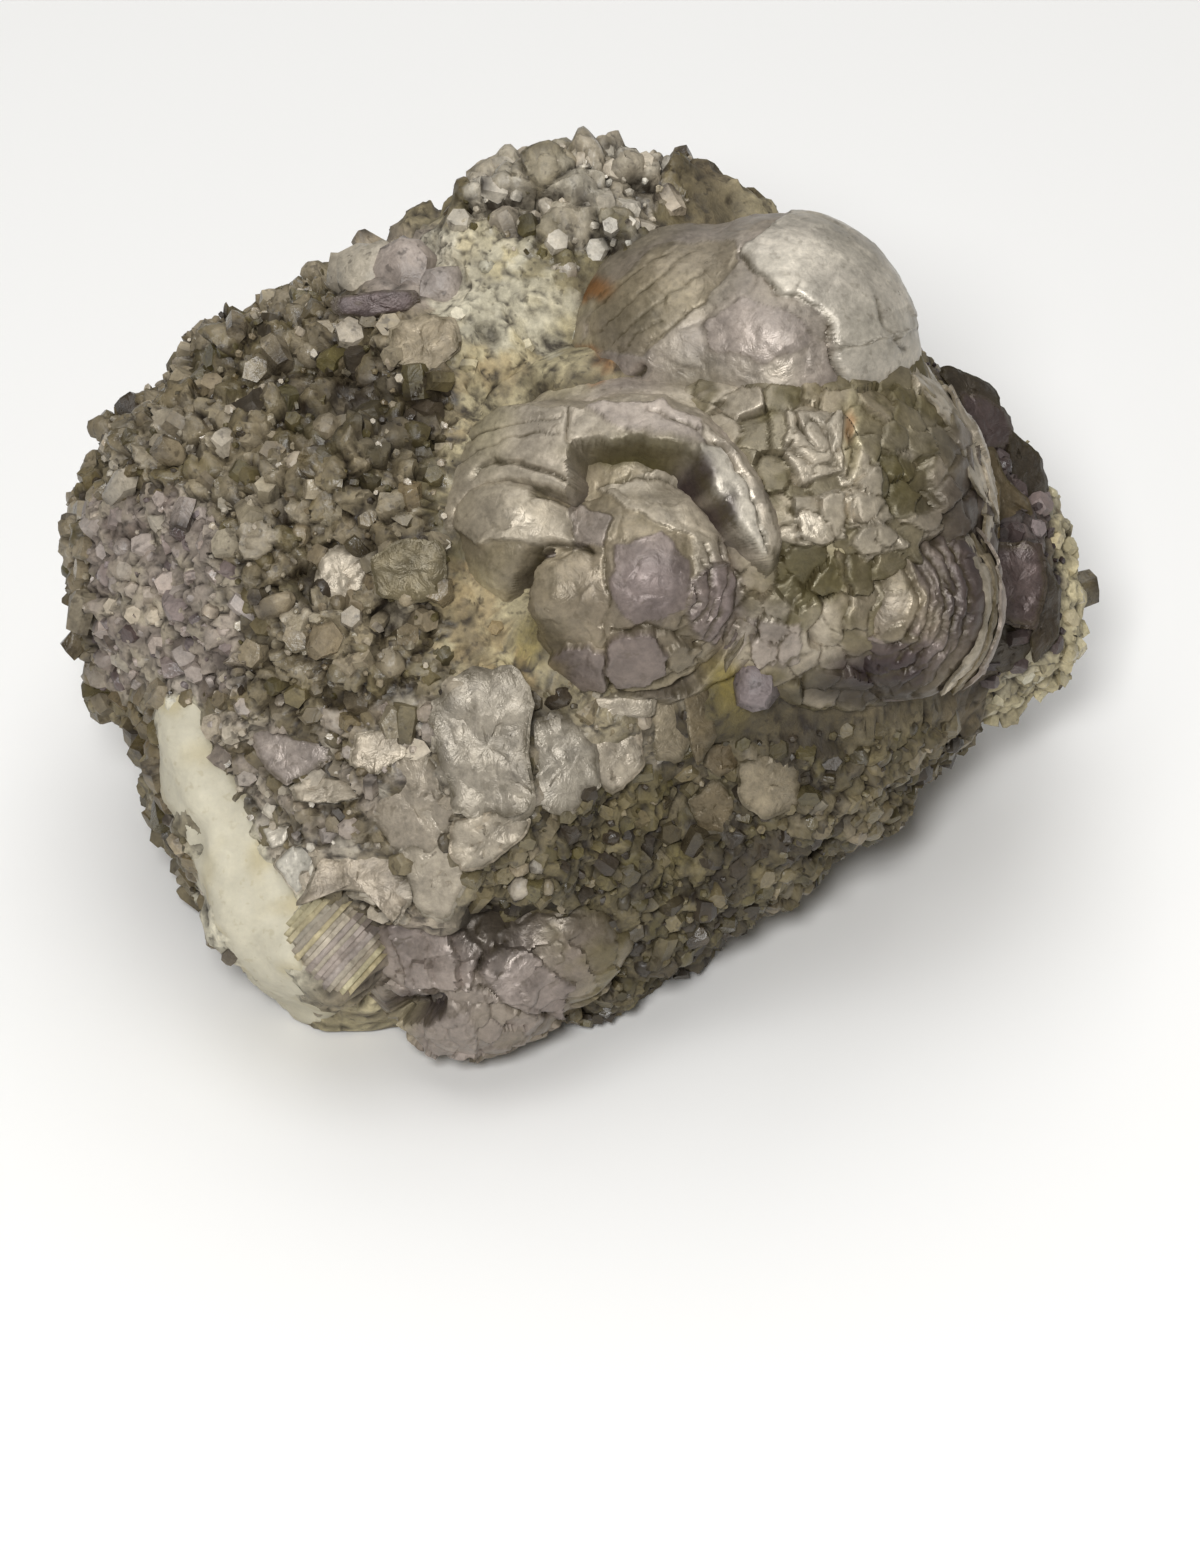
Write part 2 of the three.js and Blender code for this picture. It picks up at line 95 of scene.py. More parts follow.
COLOURS = {name: linear(rgb) for name, rgb in TONES.items()}
COLOUR_LIMITS = (0.01, 0.95)
WARMTH_SPREAD = 0.015


def toward(first, second, share):
    """A colour some share of the way from one to another."""
    return first + (second - first) * share


def glossed(colour, gloss):
    """Colours within what a mineral shows, each with a gloss from 0 to 1 beside it."""
    return np.column_stack([np.clip(colour, *COLOUR_LIMITS), np.broadcast_to(gloss, len(colour))])


def unit(vectors):
    return vectors / np.linalg.norm(vectors, axis=-1, keepdims=True)


def noise_at(points, size, shift=0.0):
    """Smooth noise from about -1 to 1 at some points, with swells of about that size."""
    offset = np.array([shift, 1.7 * shift, 2.3 * shift])
    return np.array([noise.noise(Vector(p)) for p in points / size + offset])


def swells(points, *layers):
    """A sum of noises, each given by its height, the size of its swells and its shift."""
    return sum(height * noise_at(points, size, shift) for height, size, shift in layers)


def strays(points, size, shifts):
    """Noises side by side, as a small offset for every point."""
    return np.stack([noise_at(points, size, shift) for shift in shifts], 1)


def bell(distance, width):
    """1 at no distance, falling smoothly to 0 a few widths away."""
    return np.exp(-((distance / width) ** 2))


def softened(values):
    """Values along a line, each drawn halfway to those beside it; the ends stay."""
    values[1:-1] = 0.5 * values[1:-1] + 0.25 * (values[:-2] + values[2:])


def seen_point(across, up, out):
    """A point given from the core's middle in the seen frame, in the part's frame."""
    return CORE_MIDDLE + across * RIGHT + up * UP + out * OUT


def sight_line(pixel):
    """The direction from the eye through a pixel."""
    across = PIXEL * (pixel[0] - FRAME_MIDDLE[0])
    down = PIXEL * (pixel[1] - FRAME_MIDDLE[1])
    return unit(AIM + across * RIGHT - down * UP - EYE)


def pixels_of(points):
    """Where points show in the photograph."""
    offsets = points - EYE
    scale = EYE_DISTANCE / PIXEL / -(offsets @ OUT)
    across = FRAME_MIDDLE[0] + offsets @ RIGHT * scale
    down = FRAME_MIDDLE[1] - offsets @ UP * scale
    return np.stack([across, down], axis=-1)


def tilted(normal, lean):
    """A normal leaned by degrees to the right and up, as seen."""
    right, up = np.tan(np.radians(lean))
    return unit(unit(normal) + right * RIGHT + up * UP)


def basis(normal, turn):
    """Two directions across a normal, the first turned by degrees from the right as seen."""
    side = RIGHT - (RIGHT @ normal) * normal
    if np.linalg.norm(side) < 0.2:
        side = UP - (UP @ normal) * normal
    side = unit(side)
    other = np.cross(normal, side)
    angle = math.radians(turn)
    first = math.cos(angle) * side + math.sin(angle) * other
    return first, np.cross(normal, first)


class Heap:
    """Many small closed meshes gathered into one."""

    def __init__(self):
        self.points = []
        self.faces = []
        self.tints = []
        self.rims = []
        self.count = 0

    def add(self, points, faces, tint, rims):
        self.points.append(points)
        self.faces.extend(tuple(int(corner) + self.count for corner in face) for face in faces)
        self.tints.append(np.broadcast_to(tint, (len(points), 4)))
        self.rims.append(np.broadcast_to(rims, (len(points),)))
        self.count += len(points)

    def piece(self, name, material, sharp_angle):
        points = np.concatenate(self.points)
        tints = np.concatenate(self.tints)
        rims = np.concatenate(self.rims)
        return make_piece(name, points, self.faces, tints, rims, material, sharp_angle)


# Bends, in degrees, that are shaded sharp
BODY_SHARP = 60
DOME_SHARP = 50
SHEET_SHARP = 40
GRAIN_SHARP = 42
CRUMB_SHARP = 18


def make_piece(name, points, faces, tints, rims, material, sharp_angle):
    """An object of the specimen, with the attributes that its material reads."""
    resting = np.column_stack([points[:, :2], np.maximum(points[:, 2], 0)])
    mesh = bpy.data.meshes.new(name)
    mesh.from_pydata(resting * METRES, [], faces)
    tint = mesh.attributes.new("tint", "FLOAT_COLOR", "POINT")
    tint.data.foreach_set("color", np.ascontiguousarray(tints, np.float32).ravel())
    rim = mesh.attributes.new("rim", "FLOAT", "POINT")
    rim.data.foreach_set("value", np.ascontiguousarray(rims, np.float32))
    mesh.polygons.foreach_set("use_smooth", [True] * len(mesh.polygons))
    mesh.set_sharp_from_angle(angle=math.radians(sharp_angle))
    mesh.materials.append(material)
    piece = bpy.data.objects.new(name, mesh)
    bpy.context.scene.collection.objects.link(piece)
    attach(piece, "root")
    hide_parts("mica_crystal")
    return piece


def tint_of(colour, spread, gloss=None):
    """A colour, a little lighter or darker each time, with a gloss from 0 to 1 beside it."""
    shade = 1 + spread * random.standard_normal()
    warmth = 1 + WARMTH_SPREAD * random.standard_normal()
    colour = colour * shade * np.array([warmth, 1, 1 / warmth])
    shine = random.uniform(0, 1) if gloss is None else gloss
    return np.append(np.clip(colour, *COLOUR_LIMITS), shine)


# Materials

def add_node(tree, kind, **settings):
    node = tree.nodes.new(kind)
    for name, value in settings.items():
        setattr(node, name, value)
    return node


# Noises of the minerals: scale for each metre, detail, roughness and distortion
NOISES = {
    "broad": (220, 3, 0.6, 0.0),
    "fine": (1400, 5, 0.7, 0.0),
    "dots": (800, 2, 0.6, 0.0),
    "patches": (420, 4, 0.6, 0.0),
    "uneven": (700, 4, 0.6, 0.0),
    "crumpled": (500, 4, 0.6, 0.8),
}
MIDDLE = (0.3, 0.7)  # where most of a noise lies
FINE_SHARE = 0.8  # of the mottling
DOT_EDGE = (0.6, 0.68)
PATCH_EDGE = (0.35, 0.6)
PATCH_SHARE = (0.25, 1.0)
UNEVEN_GLOSS = (0.8, 1.25)
CRUMPLE_DEPTH = 0.6
FINE_DEPTH = 0.15


def noise_node(tree, coords, name):
    node = add_node(tree, "ShaderNodeTexNoise")
    for socket, number in zip(("Scale", "Detail", "Roughness", "Distortion"), NOISES[name]):
        node.inputs[socket].default_value = number
    tree.links.new(coords, node.inputs["Vector"])
    return node.outputs["Fac"]


def ranged(tree, value, source, target):
    node = add_node(tree, "ShaderNodeMapRange")
    for socket, number in zip(("From Min", "From Max", "To Min", "To Max"), (*source, *target)):
        node.inputs[socket].default_value = number
    tree.links.new(value, node.inputs["Value"])
    return node.outputs["Result"]


def mixed(tree, blend, share, first, second):
    """A mix of two colours, each a socket or a colour."""
    node = add_node(tree, "ShaderNodeMix", data_type="RGBA", blend_type=blend)
    for socket, value in ((node.inputs[0], share), (node.inputs[6], first), (node.inputs[7], second)):
        if isinstance(value, bpy.types.NodeSocket):
            tree.links.new(value, socket)
        elif socket.type == "RGBA":
            socket.default_value = (*value, 1)
        else:
            socket.default_value = value
    return node.outputs[2]


def multiplied(tree, first, second):
    node = add_node(tree, "ShaderNodeMath", operation="MULTIPLY")
    tree.links.new(first, node.inputs[0])
    tree.links.new(second, node.inputs[1])
    return node.outputs[0]


def bumped(tree, height, strength, distance, normal=None):
    node = add_node(tree, "ShaderNodeBump")
    node.inputs["Strength"].default_value = strength
    node.inputs["Distance"].default_value = distance * METRES
    tree.links.new(height, node.inputs["Height"])
    if normal is not None:
        tree.links.new(normal, node.inputs["Normal"])
    return node.outputs["Normal"]


def mineral(name, rough, rim_from, rim_colour, rim_share, mottle, bump, specks, metallic=0.0):
    """A mineral whose colour is the mesh's tint, mottled, and darkened towards its rim colour where the
    rim attribute is high: real dark joints and cracks, and painted shade.
    """
    material = bpy.data.materials.new(name)
    material.use_nodes = True
    tree = material.node_tree
    shader = tree.nodes["Principled BSDF"]
    shader.inputs["Metallic"].default_value = metallic
    coords = add_node(tree, "ShaderNodeTexCoord").outputs["Object"]
    tint = add_node(tree, "ShaderNodeAttribute", attribute_name="tint")
    rim = add_node(tree, "ShaderNodeAttribute", attribute_name="rim").outputs["Fac"]
    # dirt is the rim colour: for dark specks, dark joints and cracks, and painted shade in hollows, pits,
    # at sheets' feet and on undersides
    dirt = linear(rim_colour)

    fine = noise_node(tree, coords, "fine")
    speckle = FINE_SHARE * mottle
    light = ranged(tree, noise_node(tree, coords, "broad"), MIDDLE, (1 - mottle, 1 + mottle))
    speck = ranged(tree, fine, MIDDLE, (1 - speckle, 1 + speckle))
    colour = mixed(tree, "MULTIPLY", 1.0, tint.outputs["Color"], multiplied(tree, light, speck))
    dots = ranged(tree, noise_node(tree, coords, "dots"), DOT_EDGE, (0.0, specks))
    colour = mixed(tree, "MIX", dots, colour, dirt)
    # Darkening by the rim attribute: partly real joints and cracks, partly painted shade
    edge = ranged(tree, rim, (rim_from, 1.0), (0.0, rim_share))
    patchy = ranged(tree, noise_node(tree, coords, "patches"), PATCH_EDGE, PATCH_SHARE)
    colour = mixed(tree, "MIX", multiplied(tree, edge, patchy), colour, dirt)
    tree.links.new(colour, shader.inputs["Base Color"])

    gloss = ranged(tree, tint.outputs["Alpha"], (0.0, 1.0), rough[::-1])
    uneven = ranged(tree, noise_node(tree, coords, "uneven"), MIDDLE, UNEVEN_GLOSS)
    tree.links.new(multiplied(tree, gloss, uneven), shader.inputs["Roughness"])

    normal = bumped(tree, noise_node(tree, coords, "crumpled"), bump, CRUMPLE_DEPTH)
    normal = bumped(tree, fine, bump, FINE_DEPTH, normal)
    tree.links.new(normal, shader.inputs["Normal"])
    return material


# Colours that the rim attribute darkens towards: dark joints, cracks and specks, and painted shade in
# hollows, pits, at sheets' feet and on undersides
DIRT_AND_SHADE = (66, 57, 34)
GAP_AND_SHADE = (38, 30, 22)
FELDSPAR_RIM_COLOUR = (150, 136, 98)
shell_mica = mineral(
    "shell_mica", rough=(0.33, 0.56), rim_from=0.3, rim_colour=DIRT_AND_SHADE, rim_share=0.85,
    mottle=0.26, bump=0.3, specks=0.25, metallic=0.3,
)
plate_mica = mineral(
    "plate_mica", rough=(0.28, 0.5), rim_from=0.3, rim_colour=DIRT_AND_SHADE, rim_share=0.9,
    mottle=0.28, bump=0.55, specks=0.3, metallic=0.3,
)
grain_mica = mineral(
    "grain_mica", rough=(0.22, 0.6), rim_from=0.25, rim_colour=GAP_AND_SHADE, rim_share=0.9,
    mottle=0.3, bump=0.5, specks=0.5,
)
body_rock = mineral(
    "body_rock", rough=(0.22, 0.8), rim_from=0.2, rim_colour=GAP_AND_SHADE, rim_share=0.95,
    mottle=0.32, bump=0.55, specks=0.5,
)
feldspar = mineral(
    "feldspar", rough=(0.6, 0.8), rim_from=0.5, rim_colour=FELDSPAR_RIM_COLOUR, rim_share=0.6,
    mottle=0.08, bump=0.25, specks=0.25,
)

# Camera, light and floor

CLIP_END = 10
SKY = (1.0, 0.985, 0.96, 1)
SKY_STRENGTH = 0.17
PAPER = (0.9, 0.895, 0.88, 1)
PAPER_ROUGHNESS = 0.9
FLOOR_SIZE = 6
# Lights: name, azimuth from the camera's side and to the right, elevation, distance, size, power
LIGHTS = [
    ("key", -6, 43, 1.05, 0.17, 7.6),
    ("top", -20, 80, 0.9, 0.6, 3.0),
    ("back", 170, 60, 0.9, 0.6, 2.0),
]


def place_camera():
    data = bpy.data.cameras.new("camera")
    data.lens = LENS
    data.sensor_width = SENSOR
    data.clip_end = CLIP_END
    camera = bpy.data.objects.new("camera", data)
    camera.location = EYE * METRES
    camera.rotation_euler = (math.pi / 2 - EYE_ELEVATION, 0, 0)
    bpy.context.scene.collection.objects.link(camera)
    bpy.context.scene.camera = camera


def add_light(name, azimuth, elevation, distance, size, power):
    """A square soft light aimed at the stone."""
    data = bpy.data.lights.new(name, "AREA")
    data.size = size
    data.energy = power
    light = bpy.data.objects.new(name, data)
    turn, lift = math.radians(azimuth), math.radians(elevation)
    flat = math.cos(lift)
    direction = Vector((math.sin(turn) * flat, -math.cos(turn) * flat, math.sin(lift)))
    light.location = Vector(CORE_MIDDLE * METRES) + distance * direction
    light.rotation_euler = direction.to_track_quat("Z", "Y").to_euler()
    bpy.context.scene.collection.objects.link(light)


def light_stage():
    scene = bpy.context.scene
    scene.view_settings.view_transform = "Standard"
    world = bpy.data.worlds.new("studio")
    world.use_nodes = True
    background = world.node_tree.nodes["Background"]
    background.inputs["Color"].default_value = SKY
    background.inputs["Strength"].default_value = SKY_STRENGTH
    scene.world = world
    for light in LIGHTS:
        add_light(*light)


def lay_floor():
    bpy.ops.mesh.primitive_plane_add(size=FLOOR_SIZE, location=(0, 0, 0))
    floor = bpy.context.object
    floor.name = "floor"
    paper = bpy.data.materials.new("paper")
    paper.use_nodes = True
    shader = paper.node_tree.nodes["Principled BSDF"]
    shader.inputs["Base Color"].default_value = PAPER
    shader.inputs["Roughness"].default_value = PAPER_ROUGHNESS
    floor.data.materials.append(paper)


# Body: the solid with its corners worn round and its surface roughened

VOXEL = 1.08
WEAR = 7  # rounds of smoothing
TUCK = 1.3  # how far the body goes in under a dome's skin
PRESS = 6.0  # how far round a dome the body is pressed in
FRONT_DEPTH = 7.0  # what lies this far behind the seen surface still counts as its front
GROUND_FADE = 3.0  # height over which the roughness of the body comes in
BODY_SWELLS = ((1.1, 8.0, 5.0), (0.5, 4.0, 0.0), (0.3, 1.6, 3.0))
BROWN_SWELL = (0.9, 14.0, 5.0)
PALE_SWELL = (2.2, 22.0, 9.0)
PALE_LEVEL = -0.3
STAIN_WANDER = 14  # pixels
BODY_GLOSS = 0.3
FRONT_TURN = 0.25  # how far past the edge of what is seen stains go on
HOLLOW_ROUNDS = 30  # of smoothing, that show what lies deep and so gets painted shade
HOLLOW_DEPTH = 1.2
PIT_DARKNESS = 1.3
MOST_GAP = 2.0
CRUST_AT_DOME = 0.15  # share of the crust's height right at a dome, and more for each millimetre
CRUST_GROWTH = 0.425

# Holes in the front: pixel, width and depth
PITS = [
    ((345, 400), 3.0, 3.0),
    ((420, 395), 2.4, 2.6),
    ((557, 328), 2.0, 3.2),
    ((515, 392), 3.2, 3.0),
    ((486, 324), 1.4, 2.0),
    ((578, 290), 2.2, 2.5),
    ((690, 820), 2.0, 2.0),
    ((540, 920), 2.6, 2.5),
    ((410, 1012), 2.2, 3.5),
    ((490, 918), 3.0, 2.5),
    ((845, 460), 1.0, 1.8),
    ((930, 545), 1.2, 1.6),
]

# Stains and minerals that colour the body, and painted shade in holes, in the recess and on the wall under
# the collar: pixel, half sizes in pixels, tone and strength
STAINS = [
    ((250, 500), (210, 230), "olive", 0.8),
    ((560, 210), (120, 70), "moss", 0.7),
    ((470, 260), (60, 50), "cream", 1.0),
    ((540, 300), (45, 26), "cream", 1.0),
    ((480, 390), (36, 70), "cream", 0.6),
    ((545, 350), (50, 24), "cream", 0.7),
    ((470, 630), (40, 60), "cream", 0.8),
    ((590, 288), (24, 12), "rust", 1.0),
    ((588, 352), (12, 9), "rust", 0.7),
    ((525, 668), (40, 16), "yellow", 0.6),
    ((740, 715), (26, 45), "yellow", 1.0),
    ((852, 432), (9, 44), "cream", 0.7),
    ((850, 425), (7, 16), "rust", 0.6),
    ((800, 575), (40, 34), "moss", 0.7),
    ((905, 485), (26, 30), "moss", 0.7),
    ((660, 840), (190, 130), "moss", 0.9),
    # painted shade in the recess under the flank
    ((760, 800), (120, 90), "dark", 0.6),
    ((650, 830), (60, 40), "yellow", 0.4),
    ((250, 930), (80, 110), "white", 1.0),
    ((175, 740), (30, 70), "white", 1.0),
    ((1075, 600), (30, 110), "cream", 1.0),
    ((1030, 395), (45, 18), "cream", 0.9),
    ((990, 540), (60, 170), "wine", 0.8),
    ((400, 400), (75, 60), "dark", 1.0),
    ((410, 570), (40, 36), "moss", 1.0),
    ((460, 980), (110, 80), "lilac", 0.7),
    # painted shade in the hole under the toe
    ((412, 1009), (36, 17), "wine", 1.0),
    ((410, 265), (70, 40), "lilac", 0.9),
    ((350, 1032), (62, 24), "cream", 0.9),
    # painted shade in the hole beside the toe
    ((492, 922), (36, 38), "dark", 0.9),
    ((880, 676), (62, 26), "wine", 1.0),
    ((870, 694), (80, 15), "dark", 0.9),
    ((650, 585), (34, 34), "violet", 0.6),
    ((632, 449), (66, 17), "moss", 1.0),
    ((725, 600), (18, 50), "violet", 0.6),
    # painted shade on the wall under the collar's lip
    ((703, 480), (13, 26), "wine", 1.0),
    ((726, 518), (13, 28), "wine", 1.0),
    ((640, 600), (95, 60), "purple", 0.3),
    ((640, 300), (60, 40), "olive", 0.5),
    ((760, 335), (60, 26), "lilac", 0.4),
]


def remeshed(source):
    """The points and quads of an even mesh over the solid."""
    copy = bpy.data.objects.new("copy", source.data.copy())
    bpy.context.scene.collection.objects.link(copy)
    remesh = copy.modifiers.new("remesh", "REMESH")
    remesh.mode = "VOXEL"
    remesh.voxel_size = VOXEL * METRES
    mesh = copy.evaluated_get(bpy.context.evaluated_depsgraph_get()).data
    points = np.empty(3 * len(mesh.vertices))
    mesh.vertices.foreach_get("co", points)
    faces = [tuple(face.vertices) for face in mesh.polygons]
    bpy.data.objects.remove(copy)
    return points.reshape(-1, 3) / METRES, faces


def neighbours(faces):
    """The two ends of every side of every face."""
    quads = np.array(faces)
    starts = quads.ravel()
    ends = np.roll(quads, -1, axis=1).ravel()
    return np.concatenate([starts, ends]), np.concatenate([ends, starts])


def worn(points, faces, rounds):
    starts, ends = neighbours(faces)
    counts = np.bincount(starts, minlength=len(points))[:, None]
    for _ in range(rounds):
        total = np.stack([np.bincount(starts, points[ends, k], len(points)) for k in range(3)], 1)
        points = 0.5 * points + 0.5 * total / counts
    return points


def normals_of(points, faces):
    quads = np.array(faces)
    cross = np.cross(points[quads[:, 2]] - points[quads[:, 0]], points[quads[:, 3]] - points[quads[:, 1]])
    total = np.zeros_like(points)
    for k in range(4):
        np.add.at(total, quads[:, k], cross)
    return unit(total)


class Surface:
    """The worn body, and where sight lines meet it."""

    def __init__(self, points, faces):
        self.points = points
        self.faces = faces
        self.normals = normals_of(points, faces)
        self.tree = BVHTree.FromPolygons([Vector(p) for p in points], faces)

    def seen(self, pixel):
        place, normal, _, _ = self.tree.ray_cast(Vector(EYE), Vector(sight_line(pixel)))
        if place is None:
            return None, None
        return np.array(place), np.array(normal)

    def is_front(self, places):
        """Which places are seen, or lie only a little behind what is seen."""
        result = []
        for place in places:
            line = place - EYE
            _, _, _, reach = self.tree.ray_cast(Vector(EYE), Vector(line))
            result.append(reach is not None and np.linalg.norm(line) - reach < FRONT_DEPTH)
        return np.array(result)

    def near(self, pixel):
        """Where a sight line meets the body, or else the body's nearest point to it."""
        place, normal = self.seen(pixel)
        if place is not None:
            return place, normal
        line = sight_line(pixel)
        middle = EYE + ((CORE_MIDDLE - EYE) @ line) * line
        place, normal, _, _ = self.tree.find_nearest(Vector(middle))
        return np.array(place), np.array(normal)


def above_ground(points):
    """How clear points are of the ground, from 0 to 1."""
    return np.clip(points[:, 2] / GROUND_FADE, 0, 1)


def roughened(surface):
    points = surface.points
    lift = swells(points, *BODY_SWELLS)
    for pixel, width, depth in PITS:
        middle, _ = surface.seen(pixel)
        lift -= depth * bell(np.linalg.norm(points - middle, axis=1), width)
    moved = tucked(points + (lift * above_ground(points))[:, None] * surface.normals)
    moved[:, 2] = np.maximum(moved[:, 2], 0)
    return moved


def dome_gap(points):
    """How far points lie outside every dome, up to a limit."""
    gap = np.full(len(points), MOST_GAP)
    for place, radius in PRESSING:
        gap = np.minimum(gap, np.linalg.norm(points - seen_point(*place), axis=1) - radius)
    return np.clip(gap, 0, None)


def tucked(points):
    """The body's points, with those at a dome's skin pressed in under it."""
    for place, radius in PRESSING:
        middle = seen_point(*place)
        offsets = points - middle
        reach = np.linalg.norm(offsets, axis=1, keepdims=True)
        under = radius - TUCK
        share = np.clip((reach - radius) / PRESS, 0, 1)
        pressed = under + (reach - under) * share**2 * (3 - 2 * share)
        points = np.where(reach > under, middle + pressed * offsets / reach, points)
    return points


def pit_share(surface, places):
    """How much of a pit each place is in, from 0 to 1."""
    share = np.zeros(len(places))
    for pixel, width, _ in PITS:
        middle, _ = surface.seen(pixel)
        share = np.maximum(share, bell(np.linalg.norm(places - middle, axis=1), width))
    return share


def body_tints(surface):
    """The body's colour: brown and olive all over, with patches where they are seen."""
    points = surface.points
    brown = 0.5 + swells(points, BROWN_SWELL)[:, None]
    colour = toward(COLOURS["olive"], COLOURS["brown"], brown)
    pale = np.clip(swells(points, PALE_SWELL) + PALE_LEVEL, 0, 1)[:, None]
    colour = toward(colour, COLOURS["cream"], pale)
    pixels = pixels_of(points) + STAIN_WANDER * strays(points, 5.0, (2.0, 7.0))
    facing = np.clip((surface.normals @ OUT + FRONT_TURN) * 3, 0, 1)
    return glossed(stained(colour, pixels, facing), BODY_GLOSS)


def hollowness(points, faces, normals):
    """How deep each point lies below the points round it, from 0 to 1."""
    smooth = worn(points, faces, HOLLOW_ROUNDS)
    depth = np.sum((smooth - points) * normals, axis=1)
    return np.clip(depth / HOLLOW_DEPTH, 0, 1)


def refined(values, faces, chosen):
    """The mesh with the chosen quads cut in four, and the new corners in their neighbours too."""
    middles = {}
    added = []
    first_new = len(values)

    def middle(side):
        if side not in middles:
            middles[side] = first_new + len(added)
            added.append(values[list(side)].mean(axis=0))
        return middles[side]

    def sides_of(face):
        return [(min(pair), max(pair)) for pair in zip(face, face[1:] + face[:1])]

    result = []
    for face in (face for face, cut in zip(faces, chosen) if cut):
        halves = [middle(side) for side in sides_of(face)]
        centre = first_new + len(added)
        added.append(values[list(face)].mean(axis=0))
        result += [(face[k], halves[k], centre, halves[k - 1]) for k in range(4)]
    for face in (face for face, cut in zip(faces, chosen) if not cut):
        loop = [(corner, middles.get(side)) for corner, side in zip(face, sides_of(face))]
        result.append(tuple(index for pair in loop for index in pair if index is not None))
    return np.concatenate([values, added]), result


def make_body():
    """The stone under everything, with a crust of crystals; returns its surface without them."""
    points, faces = remeshed(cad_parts["mica_crystal"])
    surface = Surface(worn(points, faces, WEAR), faces)
    rough = Surface(roughened(surface), faces)
    # Hollows and pits are darkened through the rim attribute: painted shade
    hollows = hollowness(rough.points, faces, rough.normals)
    rims = np.minimum(np.maximum(hollows, PIT_DARKNESS * pit_share(surface, surface.points)), 1)
    values = np.column_stack([rough.points, rough.normals, body_tints(surface), rims])
    centres = rough.points[np.array(faces)].mean(axis=1)
    chosen = ~np.isin(field_of(rough, centres), ["none", "back"])
    values, faces = refined(values, faces, chosen)
    points, normals, tints, rims = np.split(values, [3, 6, 10], axis=1)
    lift, tints, rims = crusted(rough, points, tints, rims[:, 0])
    lift = lift * above_ground(points) * (CRUST_AT_DOME + CRUST_GROWTH * dome_gap(points))
    points = points + lift[:, None] * unit(normals)
    make_piece("stone_body", points, faces, tints, rims, body_rock, BODY_SHARP)
    return rough


# Drawn features: places on the front that are found again by their pixels

def line_distance(pixels, line):
    """How far pixels lie from a line of pixels."""
    corners = np.array(line, float)
    nearest = np.full(len(pixels), np.inf)
    for a, b in zip(corners, corners[1:]):
        along = b - a
        share = np.clip((pixels - a) @ along / (along @ along), 0, 1)[:, None]
        nearest = np.minimum(nearest, np.linalg.norm(pixels - a - share * along, axis=1))
    return nearest


def inside(pixels, outline):
    """Which pixels lie inside an outline."""
    corners = np.array(outline, float)
    result = np.zeros(len(pixels), bool)
    for a, b in zip(corners, np.roll(corners, -1, axis=0)):
        crosses = (a[1] > pixels[:, 1]) != (b[1] > pixels[:, 1])
        slope = (b[0] - a[0]) / (b[1] - a[1]) if a[1] != b[1] else 0.0
        result ^= crosses & (pixels[:, 0] < a[0] + slope * (pixels[:, 1] - a[1]))
    return result


def fan(centre, ring):
    return [(centre, ring[i], ring[(i + 1) % len(ring)]) for i in range(len(ring))]


def spaced(line, count, endpoint):
    """Pixels spaced evenly along a line, and how far along it each lies."""
    corners = np.array(line, float)
    lengths = np.concatenate([[0], np.cumsum(np.linalg.norm(np.diff(corners, axis=0), axis=1))])
    along = np.linspace(0, lengths[-1], count, endpoint=endpoint)
    return np.stack([np.interp(along, lengths, corners[:, k]) for k in (0, 1)], 1), along


def grid(rows, columns):
    """The quads of a sheet of points in rows, and the loop of points round its edge."""
    index = np.arange(rows * columns).reshape(rows, columns)
    quads = [index[:-1, :-1], index[1:, :-1], index[1:, 1:], index[:-1, 1:]]
    edge = np.concatenate([index[:-1, 0], index[-1, :-1], index[:0:-1, -1], index[0, :0:-1]])
    return np.stack(quads, -1).reshape(-1, 4), edge


def slab_faces(quads, edge, total):
    """A sheet, the same sheet turned over below it, and the wall between their edges."""
    faces = [tuple(quad) for quad in quads] + [tuple(total + quad[::-1]) for quad in quads]
    return faces + [(b, a, total + a, total + b) for a, b in zip(edge, np.roll(edge, -1))]


def band(lower, upper):
    count = len(lower)
    return [(lower[i], lower[(i + 1) % count], upper[(i + 1) % count], upper[i]) for i in range(count)]


def scattered(points, faces, count):
    """Places spread at random over a mesh of quads, evenly by area, with their normals."""
    quads = np.array(faces)
    corners = points[quads]
    cross = np.cross(corners[:, 2] - corners[:, 0], corners[:, 3] - corners[:, 1])
    area = np.linalg.norm(cross, axis=1)
    chosen = random.choice(len(quads), count, p=area / area.sum())
    u, v = random.uniform(0, 1, (2, count, 1))
    c = corners[chosen]
    places = (1 - u) * ((1 - v) * c[:, 0] + v * c[:, 3]) + u * ((1 - v) * c[:, 1] + v * c[:, 2])
    return places, unit(cross[chosen])


def thinned(places, spacings):
    """The places left when each keeps its own distance from those kept before it."""
    cell = float(np.max(spacings))
    kept = {}
    chosen = []
    for i, place in enumerate(places):
        x, y, z = (int(k) for k in place // cell)
        near = (
            j
            for dx in (-1, 0, 1)
            for dy in (-1, 0, 1)
            for dz in (-1, 0, 1)
            for j in kept.get((x + dx, y + dy, z + dz), ())
        )
        if all(np.sum((places[j] - place) ** 2) > spacings[i] ** 2 for j in near):
            kept.setdefault((x, y, z), []).append(i)
            chosen.append(i)
    return np.array(chosen)


